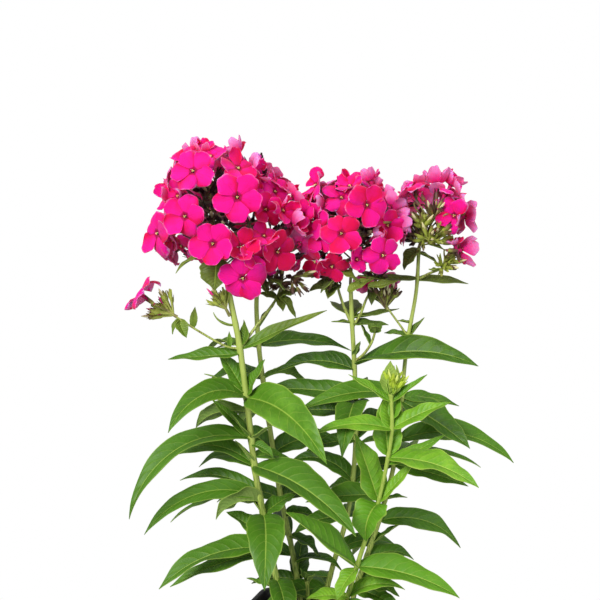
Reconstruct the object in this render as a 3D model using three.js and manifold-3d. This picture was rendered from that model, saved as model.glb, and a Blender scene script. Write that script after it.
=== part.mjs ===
// A garden phlox in its nursery pot: four flowering stems, a young shoot, their leaves in
// opposite pairs, the magenta flower heads, potting mix and a black square pot.
// Millimetres, +Z up. The origin is the middle of the pot's underside; +X runs along the row
// of stems from the left head to the right one, and -Y is the side the big leaves hang to.

import * as THREE from 'three';
import { mergeVertices } from 'three/addons/utils/BufferGeometryUtils.js';
import Module from 'manifold-3d';

const wasm = await Module();
wasm.setup();

// ---- Driving dimensions -------------------------------------------------------------------

const POT_HEIGHT = 103;
const POT_TOP_HALF = 50.4; // half the wall's width at the top, under the rim
const POT_BASE_HALF = 38;
const POT_CORNER = 11; // radius of the rounded corners
const POT_TURN = -20; // the pot stands turned against the row of stems, in degrees
const POT_WALL = 1.8;
const POT_FLOOR = 2.5;
const RIM_REACH = 2.6; // how far the rim stands out from the wall
const RIM_DEPTH = 7;
const RIM_ROUNDING = 0.6;
const CORNER_STEPS = 4;
const DRAIN_HOLE_RADIUS = 4;
const DRAIN_HOLE_CIRCLE = 29;
const DRAIN_HOLES = 8;

const SOIL_TOP = 90;
const SOIL_BUMP = 2.2;
const GAP = 0.3; // clearance between pieces that touch
const SOIL_HOLE_REACH = 12; // how far a stem's hole runs on past the first bend's height
const PLANT_AT = [20, 10, 0]; // the plant's own zero, seen from the pot's

const STEM_SIDES = 6;
const TWIG_SIDES = 4;
const LONG_BLADE = 45; // a blade longer than this is bent at more stations
const BLADE_KEEL = 1.4; // depth of a leaf's midrib under its upper face
const BLADE_WAVE = 0.03; // rise and fall of the edges, per width
const LIMB_DEPTH = 1.6; // thickness of a floret in the middle
const LIMB_HOLLOW = 0.09; // how far its middle is sunk, per radius
const TUBE_LENGTH = 15; // flower tube, from the limb down to the calyx
const NECK_RADIUS = 1.9; // the tube where it meets the limb
const CALYX_RADIUS = 2.4;
const FLORET_STALK_RADIUS = 1.3;

const rad = THREE.MathUtils.degToRad;
const vec = (x, y, z) => new THREE.Vector3(x, y, z);
const UP = vec(0, 0, 1);

// ---- Solids -------------------------------------------------------------------------------

// A closed solid from numbered points and triangles.
function solid(points, triangles) {
  const vertProperties = new Float32Array(points.flatMap((p) => [p.x, p.y, p.z]));
  return new wasm.Manifold(
    new wasm.Mesh({ numProp: 3, vertProperties, triVerts: new Uint32Array(triangles.flat()) }),
  );
}

function solidFromGeometry(geometry) {
  geometry.deleteAttribute('normal');
  geometry.deleteAttribute('uv');
  const merged = mergeVertices(geometry, 1e-4);
  return new wasm.Manifold(
    new wasm.Mesh({
      numProp: 3,
      vertProperties: new Float32Array(merged.attributes.position.array),
      triVerts: new Uint32Array(merged.index.array),
    }),
  );
}

function geometryFrom(body) {
  const mesh = body.getMesh();
  const geometry = new THREE.BufferGeometry();
  geometry.setAttribute('position', new THREE.BufferAttribute(mesh.vertProperties, 3));
  geometry.setIndex(new THREE.BufferAttribute(mesh.triVerts, 1));
  geometry.computeVertexNormals();
  return geometry;
}

// The bodies of one stem or head, joined and moved to where the plant stands in the pot.
const grown = (bodies) => geometryFrom(wasm.Manifold.union(bodies)).translate(...PLANT_AT);

// Rings of equal count, each running anticlockwise seen from the end, joined and capped.
function loft(rings) {
  const count = rings[0].length;
  const triangles = [];
  for (let k = 0; k + 1 < rings.length; k += 1) {
    for (let i = 0; i < count; i += 1) {
      const a = k * count + i;
      const b = k * count + ((i + 1) % count);
      triangles.push([a, b, b + count], [a, b + count, a + count]);
    }
  }
  const last = (rings.length - 1) * count;
  for (let i = 1; i + 1 < count; i += 1) {
    triangles.push([0, i + 1, i], [last, last + i, last + i + 1]);
  }
  return solid(rings.flat(), triangles);
}

// A tube through points, with a radius at each of them.
function tube(points, radii, sides) {
  const run = points.at(-1).clone().sub(points[0]).normalize();
  const reference = Math.abs(run.y) < 0.7 ? vec(0, 1, 0) : vec(1, 0, 0);
  const rings = points.map((point, k) => {
    const before = points[Math.max(k - 1, 0)];
    const after = points[Math.min(k + 1, points.length - 1)];
    const along = after.clone().sub(before).normalize();
    const u = reference.clone().cross(along).normalize();
    const v = along.clone().cross(u);
    return Array.from({ length: sides }, (_, i) => {
      const angle = (i * 2 * Math.PI) / sides;
      return point
        .clone()
        .addScaledVector(u, radii[k] * Math.cos(angle))
        .addScaledVector(v, radii[k] * Math.sin(angle));
    });
  });
  return loft(rings);
}

// ---- Leaves -------------------------------------------------------------------------------

// Half width of a lance-shaped leaf along its midrib: 1 at its widest, 38% of the way out.
const leafOutline = (t) => (t ** 0.7 * (1 - t) ** 1.14) / 0.2946;

const unitAt = (azimuth, elevation) =>
  vec(
    Math.cos(rad(elevation)) * Math.cos(rad(azimuth)),
    Math.cos(rad(elevation)) * Math.sin(rad(azimuth)),
    Math.sin(rad(elevation)),
  );

// A leaf that leaves `root` along `azimuth`, climbing at `rise` degrees and ending at `tip`
// degrees. `roll` turns the blade about its midrib and `sweep` bends it sideways. Its section
// is a flat triangle: the two waved edges, and the midrib that keels the underside.
function leaf(root, [azimuth, length, width, rise, tip, roll = 0, sweep = 0]) {
  const stations = length > LONG_BLADE ? [0, 0.14, 0.32, 0.56, 0.8, 1] : [0, 0.3, 0.68, 1];
  const rings = [];
  let point = root.clone();
  let previous = 0;
  for (const t of stations) {
    const middle = (t + previous) / 2;
    const step = unitAt(azimuth + sweep * middle, rise + (tip - rise) * middle);
    point = point.clone().addScaledVector(step, length * (t - previous));
    const turn = azimuth + sweep * t;
    const along = unitAt(turn, rise + (tip - rise) * t);
    const left = unitAt(turn + 90, 0).applyAxisAngle(along, rad(roll));
    const normal = along.clone().cross(left);
    const half = Math.max((width / 2) * leafOutline(t), t === 1 ? 0.5 : 1);
    const wave = BLADE_WAVE * width * Math.sin(16 * t);
    const keel = BLADE_KEEL * (t === 1 ? 0.5 : 1);
    rings.push([
      point.clone().addScaledVector(left, half).addScaledVector(normal, wave),
      point.clone().addScaledVector(left, -half).addScaledVector(normal, -wave),
      point.clone().addScaledVector(normal, -keel),
    ]);
    previous = t;
  }
  return loft(rings);
}

// ---- Stems --------------------------------------------------------------------------------

const curveThrough = (path) =>
  new THREE.CatmullRomCurve3(
    path.map((p) => vec(...p)),
    false,
    'catmullrom',
    0.5,
  );

function stemTube(path, [foot, top], sides) {
  const last = path.length - 1;
  return tube(
    path.map((p) => vec(...p)),
    path.map((_, i) => foot + ((top - foot) * i) / last),
    sides,
  );
}

// The point of a stem at a height, found by halving.
function atHeight(curve, height) {
  let low = 0;
  let high = 1;
  for (let i = 0; i < 24; i += 1) {
    const middle = (low + high) / 2;
    if (curve.getPoint(middle).z < height) low = middle;
    else high = middle;
  }
  return curve.getPoint((low + high) / 2);
}

function leafyStem({ path, radii, leaves, twigs = [] }) {
  const curve = curveThrough(path);
  const bodies = [stemTube(path, radii, STEM_SIDES)];
  for (const [height, ...shape] of leaves) bodies.push(leaf(atHeight(curve, height), shape));
  for (const twig of twigs) {
    bodies.push(stemTube(twig.path, twig.radii, TWIG_SIDES));
    for (const [along, ...shape] of twig.leaves ?? []) {
      bodies.push(leaf(curveThrough(twig.path).getPoint(along), shape));
    }
  }
  return bodies;
}

// ---- Flowers ------------------------------------------------------------------------------

// A shallow five-lobed limb that runs back into a three-sided tube, a calyx and a stalk,
// which ends inside the head at `hub`.
function floret(hub, [x, y, z, azimuth, elevation, radius], index) {
  const centre = vec(x, y, z);
  const facing = unitAt(azimuth, elevation);
  const reference = Math.abs(facing.z) < 0.8 ? UP : vec(1, 0, 0);
  const u = reference.clone().cross(facing).normalize();
  const v = facing.clone().cross(u);
  const spin = 54 + 11 * Math.sin(5 * index);
  const at = (reach, angle, lift) =>
    centre
      .clone()
      .addScaledVector(u, reach * Math.cos(rad(angle)))
      .addScaledVector(v, reach * Math.sin(rad(angle)))
      .addScaledVector(facing, lift);
  const outline = [];
  for (let lobe = 0; lobe < 5; lobe += 1) {
    const cup = 0.1 * radius * Math.sin(2.4 * index + 1.7 * lobe);
    const angle = spin + 72 * lobe;
    outline.push(at(0.7 * radius, angle, 0.04 * radius));
    outline.push(at(radius, angle + 20, cup), at(radius, angle + 52, cup));
  }
  const sunk = -LIMB_HOLLOW * radius;
  const neck = [60, 180, 300].map((angle) => at(NECK_RADIUS, spin + angle, sunk - LIMB_DEPTH));
  const calyxEnd = centre.clone().addScaledVector(facing, -TUBE_LENGTH);
  const away = calyxEnd.clone().sub(hub).normalize();
  const side = v.clone().cross(away).normalize();
  const other = away.clone().cross(side);
  const ringAt = (middle, reach) =>
    [60, 180, 300].map((angle) =>
      middle
        .clone()
        .addScaledVector(side, reach * Math.cos(rad(spin + angle)))
        .addScaledVector(other, reach * Math.sin(rad(spin + angle))),
    );
  const calyx = ringAt(calyxEnd, CALYX_RADIUS);
  const stalk = ringAt(hub, FLORET_STALK_RADIUS);
  const points = [...outline, at(0, 0, sunk), ...neck, ...calyx, ...stalk];
  const triangles = [];
  for (let i = 0; i < 15; i += 1) {
    const next = (i + 1) % 15;
    const root = 16 + Math.floor(i / 5);
    triangles.push([15, i, next], [root, next, i]);
    if (i % 5 === 4) triangles.push([root, 16 + (Math.floor(i / 5) + 1) % 3, next]);
  }
  for (const ring of [16, 19]) {
    for (let i = 0; i < 3; i += 1) {
      const [a, b] = [ring + i, ring + ((i + 1) % 3)];
      triangles.push([a, a + 3, b + 3], [a, b + 3, b]);
    }
  }
  triangles.push([22, 24, 23]);
  return solid(points, triangles);
}

// A closed bud or an empty calyx: a three-sided spindle with a drawn-out tip.
function bud(hub, tip, radius) {
  const middle = hub.clone().lerp(tip, 0.62);
  return tube([hub, middle, tip], [1, radius * 1.15, 0.5], 3);
}

// The stalk inside a head, from the stem's tip up; every floret runs into it.
function headBodies({ stalks, florets, buds = [] }) {
  const bodies = stalks.map(({ path, radii }) =>
    tube(
      path.map((p) => vec(...p)),
      radii,
      STEM_SIDES,
    ),
  );
  florets.forEach(([stalk, ...place], index) => {
    bodies.push(floret(hubFor(stalks[stalk].path, place), place, index));
  });
  for (const [stalk, x, y, z, radius] of buds) {
    bodies.push(bud(hubFor(stalks[stalk].path, [x, y, z]), vec(x, y, z), radius));
  }
  return bodies;
}

// Where a floret's stalk meets the head's own stalk: a little below the floret.
function hubFor(path, [, , z]) {
  const bottom = path[1][2];
  const top = path.at(-1)[2] - 3;
  const height = THREE.MathUtils.clamp(z - 14, bottom, top);
  for (let k = 1; k + 1 < path.length; k += 1) {
    const [from, to] = [vec(...path[k]), vec(...path[k + 1])];
    if (height <= to.z) return from.lerp(to, (height - from.z) / (to.z - from.z));
  }
  return vec(...path.at(-1));
}

// ---- The stems and their leaves -----------------------------------------------------------
// A path is a list of points from the foot up. A leaf is [height on the stem, azimuth, length,
// width, rise, tip, roll, sweep]; azimuth 0 is +X, 90 is +Y and 270 is -Y.

const STEM_LEFT = {
  path: [
    [-20, -8, 46], [-32, -11, 100], [-40, -12, 135], [-50, -13, 187], [-56.5, -13.5, 225],
    [-60, -14, 258], [-63.5, -14, 290], [-68, -14, 325], [-73.5, -14, 354], [-77, -14, 374],
  ],
  radii: [2.9, 2.2],
  leaves: [
    [317, 187, 53, 14, 0, -6, -25],
    [321, 128, 50, 13, 20, -55, 0],
    [319, -8, 70, 12, 28, 12, 40],
    [282, 206, 82, 21, 46, -84, -42],
    [282, -48, 98, 34, 18, -58, 6],
    [285, 170, 40, 14, 62, 52, -45],
    [284, 186, 36, 7, 45, 12, 0],
    [284, -25, 30, 12, 68, 60, 40],
    [275, 150, 48, 15, 12, -45, -20],
    [248, 195, 124, 21, 27, -90, -24],
    [251, 165, 42, 11, 55, 45, -30],
    [229, 176, 86, 17, 48, -55, -30],
    [228, 148, 58, 14, 30, -50, -25],
    [229, -42, 114, 31, 14, -54, 6],
    [204, 186, 104, 18, 22, -60, -36],
    [206, 165, 66, 16, 42, -42, -34],
    [203, 150, 74, 15, 12, -45, -25],
    [202, 222, 40, 16, 15, -60, -40],
    [190, 278, 74, 28, 12, -88, 0],
    [189, 196, 34, 14, 14, -50, -20],
    [190, 40, 34, 14, 30, 0, 20],
    [164, 187, 100, 17, 28, -62, -38],
    [161, 177, 82, 15, -6, -42, -32],
    [137, 283, 60, 20, 12, -85, 0],
    [134, 160, 36, 10, 25, 5, 0],
  ],
  twigs: [
    {
      path: [[-67, -14, 319], [-60, -12, 329], [-50, -8, 342], [-41, -5, 354], [-37, -3, 363]],
      radii: [1.5, 1.1],
      leaves: [
        [0.85, -15, 18, 12, 20, 10, 20],
        [0.8, 170, 14, 9, 25, 0, -20],
        [0.85, -70, 16, 9, -20, -60, 0],
        [0.9, -40, 24, 9, -30, -60, 0],
      ],
    },
    {
      path: [[-67, -14, 319], [-78, -17, 325], [-94, -21, 337], [-110, -24, 347], [-114, -24, 349]],
      radii: [1.3, 1.0],
      leaves: [
        [0.62, 250, 12, 8, -30, -60, 0],
        [0.62, 80, 14, 7, 50, 30, 0],
      ],
    },
  ],
};

const STEM_BACK = {
  path: [
    [-13, 11, 46], [-21, 15, 102], [-29.5, 18, 153], [-38.5, 21, 197], [-45, 23, 240],
    [-50.5, 24, 280], [-54.3, 24, 312], [-56, 23, 345], [-54, 21, 370],
  ],
  radii: [2.8, 2.0],
  leaves: [
    [314, 12, 76, 16, 24, -36, 28],
    [313, 190, 34, 10, 20, -20, 0],
    [328, 20, 26, 7, 55, 50, 0],
    [288, 30, 38, 17, 30, -30, 32],
    [287, 150, 60, 15, 25, -50, -25],
    [255, 75, 78, 18, 25, -50, 0],
    [254, 115, 84, 17, 30, -55, 0],
    [228, 14, 60, 22, 40, -34, 34],
    [227, 130, 78, 17, 30, -50, -20],
    [192, 2, 36, 15, 12, -25, 28],
    [192, 80, 86, 18, 30, -60, 0],
    [191, 160, 60, 16, 25, -45, -30],
    [161, -22, 30, 16, 5, -60, 0],
    [160, 120, 82, 17, 25, -55, 0],
    [146, -16, 46, 10, 60, -62, 0],
    [145, 150, 70, 15, 15, -40, -25],
    [124, 60, 60, 16, 25, -45, 0],
    [125, 175, 58, 15, 20, -30, -25],
  ],
};

const STEM_MIDDLE = {
  path: [
    [-6, 15, 46], [-4, 15, 100], [2.5, 15, 133], [13, 15, 172], [18.5, 15, 205],
    [21, 15, 248], [20, 15, 288], [17.2, 15, 335], [16, 15, 362],
  ],
  radii: [2.7, 1.7],
  leaves: [
    [338, 12, 38, 8, 5, 10, 10],
    [339, 104, 44, 24, 24, -24, 0],
    [333, -4, 28, 10, 4, -8, 20],
    [297, 178, 62, 19, 30, -34, -30],
    [301, -22, 100, 23, 26, -26, 26, 15],
    [271, 262, 70, 27, 14, -84, 0],
    [276, 168, 60, 16, 14, -36, -25],
    [277, 88, 84, 18, 30, -55, 0],
    [255, 168, 50, 16, 10, -30, -25],
    [241, 190, 40, 14, 5, -25, -25],
    [241, 50, 70, 16, 30, -50, 0],
    [207, 173, 58, 17, 52, -22, -30],
    [206, 30, 54, 16, 42, -30, 30],
    [178, 95, 84, 18, 28, -58, 0],
    [178, 196, 46, 16, 15, -40, -28],
    [150, 35, 74, 17, 20, -48, 24],
    [134, 165, 34, 10, 30, 0, 0],
    [119, 100, 66, 16, 20, -40, 0],
    [118, 206, 58, 19, 20, -30, -22],
  ],
  twigs: [
    {
      path: [[19.5, 15, 303], [26, 12, 309], [31.7, 10, 318], [34.5, 8, 327]],
      radii: [1.2, 0.9],
      leaves: [
        [1, 20, 9, 8, 60, 40, 30],
        [1, 160, 9, 8, 60, 40, -30],
        [1, 270, 9, 8, 60, 30, 0],
        [0.66, 150, 18, 6, 60, 60, 0],
      ],
    },
    {
      path: [[18, 15, 330], [24, 14, 341], [28, 13, 352], [34, 14, 362]],
      radii: [1.1, 0.9],
      leaves: [[0.75, 20, 22, 9, -10, -70, 0], [0.98, -105, 16, 8, -30, -85, 0]],
    },
    {
      path: [[17.5, 15, 331], [11, 13, 346], [7, 12, 358], [5, 11, 368]],
      radii: [1.2, 0.9],
      leaves: [[0.8, 190, 24, 9, 5, -25, 0], [0.85, 230, 14, 7, -10, -40, 0]],
    },
  ],
};

const STEM_RIGHT = {
  path: [
    [14, 8, 46], [18, 10, 104], [29, 12, 143], [37.3, 14, 167], [44.2, 15, 192],
    [50, 15, 216], [53.7, 15, 240], [56.3, 15, 274], [58.2, 15, 302], [61, 15, 326],
    [66, 15, 358], [67.5, 15, 391],
  ],
  radii: [2.7, 1.8],
  leaves: [
    [382, 200, 30, 16, -8, -50, -20],
    [368, 6, 37, 9, 4, -10, 20],
    [368, 201, 48, 10, 0, 10, -20, -10],
    [324, 176, 19, 8, 15, -8, -15],
    [323, -12, 19, 7, 55, 48, 20],
    [275, 12, 50, 16, 18, -26, 26],
    [277, 206, 88, 21, 20, -30, -30, -20],
    [272, -28, 74, 23, 6, -56, 30],
    [240, 4, 102, 21, 28, -50, 34],
    [240, 197, 34, 13, 20, -20, 0],
    [256, 95, 80, 17, 30, -52, 0],
    [222, 70, 84, 17, 30, -55, 0],
    [221, 14, 62, 16, 6, -22, 26],
    [226, -6, 80, 16, 22, -40, 26],
    [192, 208, 56, 18, 12, -6, -28],
    [191, 100, 84, 17, 28, -55, 0],
    [175, 2, 79, 23, 25, -62, 34],
    [178, 176, 22, 13, 20, 0, -20],
    [157, 8, 28, 7, 40, 25, 0],
    [156, 95, 78, 16, 20, -50, 0],
    [140, 10, 46, 16, 50, -48, 30],
    [128, 40, 62, 16, 25, -40, 22],
    [127, -20, 50, 17, 22, -45, 20],
  ],
  twigs: [
    {
      path: [[60.5, 15, 322], [55, 14, 330], [48.5, 13, 339], [43.5, 12, 346]],
      radii: [1.0, 0.8],
    },
    {
      path: [[66.5, 15, 366], [74, 13, 371], [82, 9, 375], [86, 6, 378]],
      radii: [1.0, 0.9],
      leaves: [[0.8, 190, 10, 6, -10, 10, 0], [0.85, 30, 9, 5, 20, 0, 0]],
    },
  ],
};

const SHOOT_FRONT = {
  path: [
    [2, -12, 46], [6, -19, 102], [11, -22, 118], [20.8, -24, 153], [28, -26, 178],
    [36, -28, 204], [43, -29, 240], [45.5, -30, 263], [44.6, -30, 286], [44.5, -30, 291],
  ],
  radii: [2.7, 1.9],
  leaves: [
    [288, 172, 24, 12, 50, 118, -40],
    [288, 4, 24, 12, 50, 116, 40],
    [288, 250, 24, 14, 58, 112, 0],
    [288, 88, 22, 12, 58, 112, 0],
    [289, 320, 20, 9, 66, 104, 0],
    [270, 45, 24, 10, 66, 84, 20],
    [283, 190, 39, 9, 38, 30, -30],
    [283, -14, 34, 8, 42, 38, 30],
    [262, 196, 62, 14, 24, -22, -35],
    [263, -12, 48, 15, 36, 18, 36],
    [262, 98, 30, 17, 58, 70, 0],
    [241, 226, 42, 20, 70, 84, 0],
    [240, -10, 74, 23, 14, -46, 32],
    [241, 14, 46, 13, 32, 24, 25],
    [205, -5, 42, 12, 52, 48, 30],
    [204, 262, 34, 19, 16, -86, 0],
    [206, 168, 54, 17, 74, 66, -40],
    [153, 205, 68, 26, 46, 30, -30],
    [153, -12, 86, 22, 16, -52, 28],
    [151, 225, 30, 15, -15, -70, 0],
    [128, 2, 48, 14, 46, -34, 24],
    [128, 200, 34, 14, 20, -10, -20],
    [125, 290, 46, 17, 20, -70, 0],
  ],
};

const SHOOT_LOW = {
  path: [[-12, -4, 46], [-14, -4, 100], [-16, -5, 118], [-17, -5, 134]],
  radii: [1.9, 1.3],
  leaves: [
    [132, 150, 22, 8, 72, 60, 0],
    [132, -30, 22, 8, 66, 50, 0],
    [133, 250, 18, 7, 70, 60, 0],
    [120, 8, 30, 7, 50, -50, 0],
    [119, 215, 24, 8, 40, -10, 0],
    [112, 265, 38, 14, 20, -50, 0],
    [112, 85, 26, 12, 30, -20, 0],
  ],
};

const FALLEN_LEAF = { root: [-34, 34, 91.4], shape: [138, 19, 9, 10, 50] };

// ---- The flower heads ---------------------------------------------------------------------
// A floret is [stalk it belongs to, x, y, z of its limb, azimuth and elevation it faces,
// radius]. A bud is [stalk, x, y, z of its tip, radius].

const HEAD_LEFT = {
  stalks: [
    { path: [[-77.3, -14, 374.6], [-79, -14, 380], [-85, -14, 405], [-88, -14, 440]],
      radii: [2.2, 4, 6, 3] },
    { path: [[-54, 21, 370.6], [-53, 20, 376], [-50, 18, 400], [-52, 18, 436]],
      radii: [2, 4, 6, 3] },
    { path: [[-36.7, -2.8, 363.8], [-36, -3, 367], [-36, -3, 380], [-36, -2, 396]],
      radii: [1.2, 3, 4, 2.5] },
    { path: [[-85, -14, 405], [-68, 2, 402], [-50, 18, 400], [-36, -3, 386]],
      radii: [3, 3, 3, 3] },
  ],
  florets: [
    [0, -66, -56, 436, -86, 6, 17.5],
    [0, -98, -46, 454, -112, 28, 16],
    [0, -104, -50, 422, -115, 8, 15.5],
    [0, -84, -54, 403, -100, 3, 16],
    [0, -65, -50, 380, -88, -8, 17],
    [0, -64, -44, 400, -70, 34, 14],
    [0, -127, -27, 407, -143, 0, 17],
    [0, -123, -18, 434, -168, 12, 13],
    [0, -87, -16, 466, -92, 68, 14],
    [0, -106, -14, 465, -160, 48, 13],
    [0, -98, 6, 468, 125, 55, 12],
    [0, -66, -30, 455, -55, 42, 14],
    [0, -49, -36, 408, -60, 4, 13],
    [0, -91, -20, 384, -110, -45, 12],
    [0, -110, -18, 390, -140, -38, 13],
    [0, -121, 4, 388, 165, -25, 12],
    [0, -116, 14, 446, 150, 22, 14],
    [0, -116, 16, 416, 155, 0, 14],
    [0, -95, 30, 430, 105, 15, 15],
    [0, -98, 26, 400, 115, -12, 14],
    [0, -78, 30, 453, 85, 42, 14],
    [0, -77, 33, 424, 88, 8, 14],
    [0, -84, 26, 388, 100, -26, 13],
    [0, -112, 30, 424, 132, 4, 13],
    [1, -68, 12, 465, -120, 66, 13],
    [1, -52, 20, 457, -20, 56, 13],
    [1, -40, -6, 436, -35, 22, 14],
    [1, -35, 24, 442, 20, 42, 12],
    [1, -27, 30, 426, 22, 10, 12],
    [1, -47, -18, 424, -75, 0, 12],
    [1, -30, 36, 404, 45, -4, 14],
    [1, -48, 50, 422, 88, 10, 15],
    [1, -58, 42, 448, 95, 45, 14],
    [1, -66, 44, 402, 112, -12, 14],
    [2, -38, -32, 394, -58, -4, 16],
    [2, -27, -20, 413, -25, 24, 13],
    [2, -21, -2, 399, 20, 0, 15],
    [2, -22, 6, 381, -10, -35, 10],
    [2, -49, -18, 378, -85, -45, 11],
  ],
  buds: [
    [0, -92, -34, 442, 2.6],
    [0, -86, -36, 424, 2.4],
    [0, -76, -34, 418, 2.4],
    [2, -44, -10, 362, 2.2],
    [2, -30, -10, 362, 2.2],
    [2, -26, 0, 366, 2.2],
  ],
};

const HEAD_MIDDLE = {
  stalks: [
    { path: [[16, 15, 362.6], [16, 15, 368], [18, 14, 395], [19, 14, 424]],
      radii: [1.7, 3.5, 6, 3] },
    { path: [[34.3, 14, 362.6], [35, 14, 366], [36, 13, 376], [20, 14, 398]],
      radii: [0.9, 2.2, 2.2, 2.2] },
    { path: [[4.9, 11, 368.6], [4, 11, 372], [5, 12, 382], [14, 14, 396]],
      radii: [0.9, 2.2, 2.2, 2.2] },
  ],
  florets: [
    [0, 26, -30, 428, -74, 12, 15.5],
    [0, 7, -34, 408, -95, 12, 15],
    [0, 38, -28, 391, -70, 0, 14.5],
    [0, 19, -26, 388, -90, 4, 10],
    [0, -12, 2, 440, -150, 28, 13],
    [0, 9, -2, 437, -95, 52, 15],
    [0, 16, 16, 448, -100, 74, 12],
    [0, 32, 26, 444, 50, 50, 12],
    [0, 36, 8, 444, -25, 45, 13],
    [0, 46, 16, 430, 10, 18, 13],
    [0, 46, -8, 411, -25, -6, 14],
    [0, 49, 14, 404, 8, -15, 12],
    [0, -13, -8, 414, -150, 0, 15],
    [2, -2, -10, 384, -115, -50, 13],
    [2, -9, 14, 386, 170, -35, 11],
    [0, -14, 22, 426, 165, 15, 14],
    [0, 4, 48, 424, 105, 18, 15],
    [0, 36, 46, 412, 60, 2, 14],
    [0, 16, 48, 396, 90, -18, 13],
    [1, 28, 27, 369, 110, -50, 11],
  ],
  buds: [
    [0, 30, -18, 408, 2.6],
    [0, 20, -16, 420, 2.4],
    [1, 44, 22, 374, 2.2],
    [2, 2, -2, 366, 2.2],
  ],
};

const HEAD_RIGHT = {
  stalks: [
    { path: [[67.7, 15, 391.6], [68.5, 15, 395], [74, 13, 402], [77, 12, 410]],
      radii: [1.8, 3, 4, 3] },
  ],
  florets: [
    [0, 57, -8, 437, -145, 32, 13],
    [0, 57, 6, 427, 170, 8, 14],
    [0, 82, 20, 447, 65, 58, 12],
    [0, 84, 2, 440, -50, 52, 13],
    [0, 97, 22, 441, 25, 45, 11],
    [0, 98, 6, 430, -5, 26, 12],
    [0, 86, -20, 420, -60, 0, 11],
    [0, 103, -2, 413, 25, -8, 13],
    [0, 70, 4, 444, -120, 62, 13],
    [0, 70, 42, 430, 100, 20, 14],
    [0, 93, 38, 418, 52, 8, 13],
    [0, 55, 34, 412, 145, 0, 13],
  ],
  buds: [
    [0, 62, -14, 412, 2.6],
    [0, 66, -18, 422, 2.6],
    [0, 72, -22, 414, 2.4],
    [0, 78, -22, 404, 2.4],
    [0, 76, -12, 430, 2.6],
    [0, 70, -6, 434, 2.4],
    [0, 84, -14, 398, 2.2],
    [0, 92, -4, 402, 2.2],
    [0, 88, 8, 428, 2.4],
    [0, 62, -4, 398, 2.2],
    [0, 90, 16, 400, 2.2],
    [0, 76, 34, 410, 2.4],
    [0, 62, 24, 428, 2.4],
  ],
};

const SPRAY_LEFT = {
  stalks: [
    { path: [[-114.6, -24, 349.4], [-117, -24.5, 351], [-119, -25, 353], [-121, -25, 356]],
      radii: [1.0, 2.4, 2.6, 2] },
  ],
  florets: [[0, -140, -34, 366, -196, 42, 13]],
  buds: [
    [0, -112, -24, 370, 2.1],
    [0, -117, -30, 371, 2.1],
    [0, -123, -20, 371, 2.1],
    [0, -128, -30, 368, 2.1],
    [0, -107, -28, 362, 1.9],
    [0, -132, -20, 360, 1.9],
    [0, -116, -14, 366, 2.0],
  ],
};

const SPRAY_RIGHT = {
  stalks: [
    { path: [[86.4, 5.8, 378.4], [88, 5, 380], [90, 5, 382], [92, 4, 385]],
      radii: [0.9, 2.2, 2.4, 2] },
  ],
  florets: [
    [0, 105, 2, 389, 36, -6, 14],
    [0, 92, -6, 398, -150, 70, 9],
  ],
  buds: [
    [0, 80, 2, 390, 2.0],
    [0, 84, -6, 394, 2.0],
    [0, 97, 14, 394, 2.0],
    [0, 86, 16, 392, 2.0],
    [0, 98, -8, 376, 1.8],
    [0, 84, 0, 370, 1.6],
  ],
};

const SPRAY_CENTRE = {
  stalks: [
    { path: [[43.3, 12, 346.4], [42.5, 12, 348], [42, 12, 351], [42, 12, 354]],
      radii: [0.8, 2.2, 2.4, 2] },
  ],
  florets: [],
  buds: [
    [0, 37, 3, 361, 2.2],
    [0, 41, 1, 363, 2.2],
    [0, 45, 3, 364, 2.2],
    [0, 49, 6, 363, 2.2],
    [0, 53, 11, 361, 2.2],
    [0, 45, 21, 364, 2.2],
    [0, 37, 17, 362, 2.2],
    [0, 52, 18, 358, 2.0],
  ],
};

const BUDS_LEFT = {
  stalks: [
    { path: [[-75.4, -17.2, 346.6], [-76.4, -18.6, 349], [-78, -20, 352], [-80, -21, 355]],
      radii: [0.9, 2.2, 2.6, 2] },
  ],
  florets: [],
  buds: [
    [0, -93, -26, 366, 2.2],
    [0, -90, -24, 357, 2.0],
    [0, -86, -30, 368, 2.2],
    [0, -80, -28, 370, 2.2],
    [0, -74, -26, 368, 2.0],
    [0, -88, -16, 364, 2.0],
  ],
};

// ---- Pot and soil -------------------------------------------------------------------------

const wallHalfAt = (z) => POT_BASE_HALF + ((POT_TOP_HALF - POT_BASE_HALF) * z) / POT_HEIGHT;

// A level ring of the pot: a square with rounded corners, `inset` inside the wall's face.
function squareRing(height, inset) {
  const corner = Math.max(POT_CORNER - inset, 3);
  const reach = wallHalfAt(height) - inset - corner;
  const count = CORNER_STEPS + 1;
  return Array.from({ length: 4 * count }, (_, i) => {
    const quarter = Math.floor(i / count);
    const middle = vec(reach, reach, height).applyAxisAngle(UP, rad(90 * quarter));
    const outward = unitAt(90 * quarter + (90 * (i % count)) / CORNER_STEPS, 0);
    return middle.addScaledVector(outward, corner).applyAxisAngle(UP, rad(POT_TURN));
  });
}

function potBody() {
  const skirt = POT_HEIGHT - RIM_DEPTH;
  const outside = loft([
    squareRing(0, 0),
    squareRing(skirt, 0),
    squareRing(skirt + RIM_ROUNDING, -RIM_REACH),
    squareRing(POT_HEIGHT - RIM_ROUNDING, -RIM_REACH),
    squareRing(POT_HEIGHT, RIM_ROUNDING - RIM_REACH),
  ]);
  const inside = loft([squareRing(POT_FLOOR, POT_WALL), squareRing(POT_HEIGHT + 1, POT_WALL)]);
  const holes = Array.from({ length: DRAIN_HOLES }, (_, i) =>
    solidFromGeometry(
      new THREE.CylinderGeometry(DRAIN_HOLE_RADIUS, DRAIN_HOLE_RADIUS, 4 * POT_FLOOR, 8)
        .rotateX(Math.PI / 2)
        .translate(DRAIN_HOLE_CIRCLE, 0, 0)
        .rotateZ(((i + 0.5) * 2 * Math.PI) / DRAIN_HOLES + rad(POT_TURN)),
    ),
  );
  return outside.subtract(wasm.Manifold.union([inside, ...holes]));
}

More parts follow.
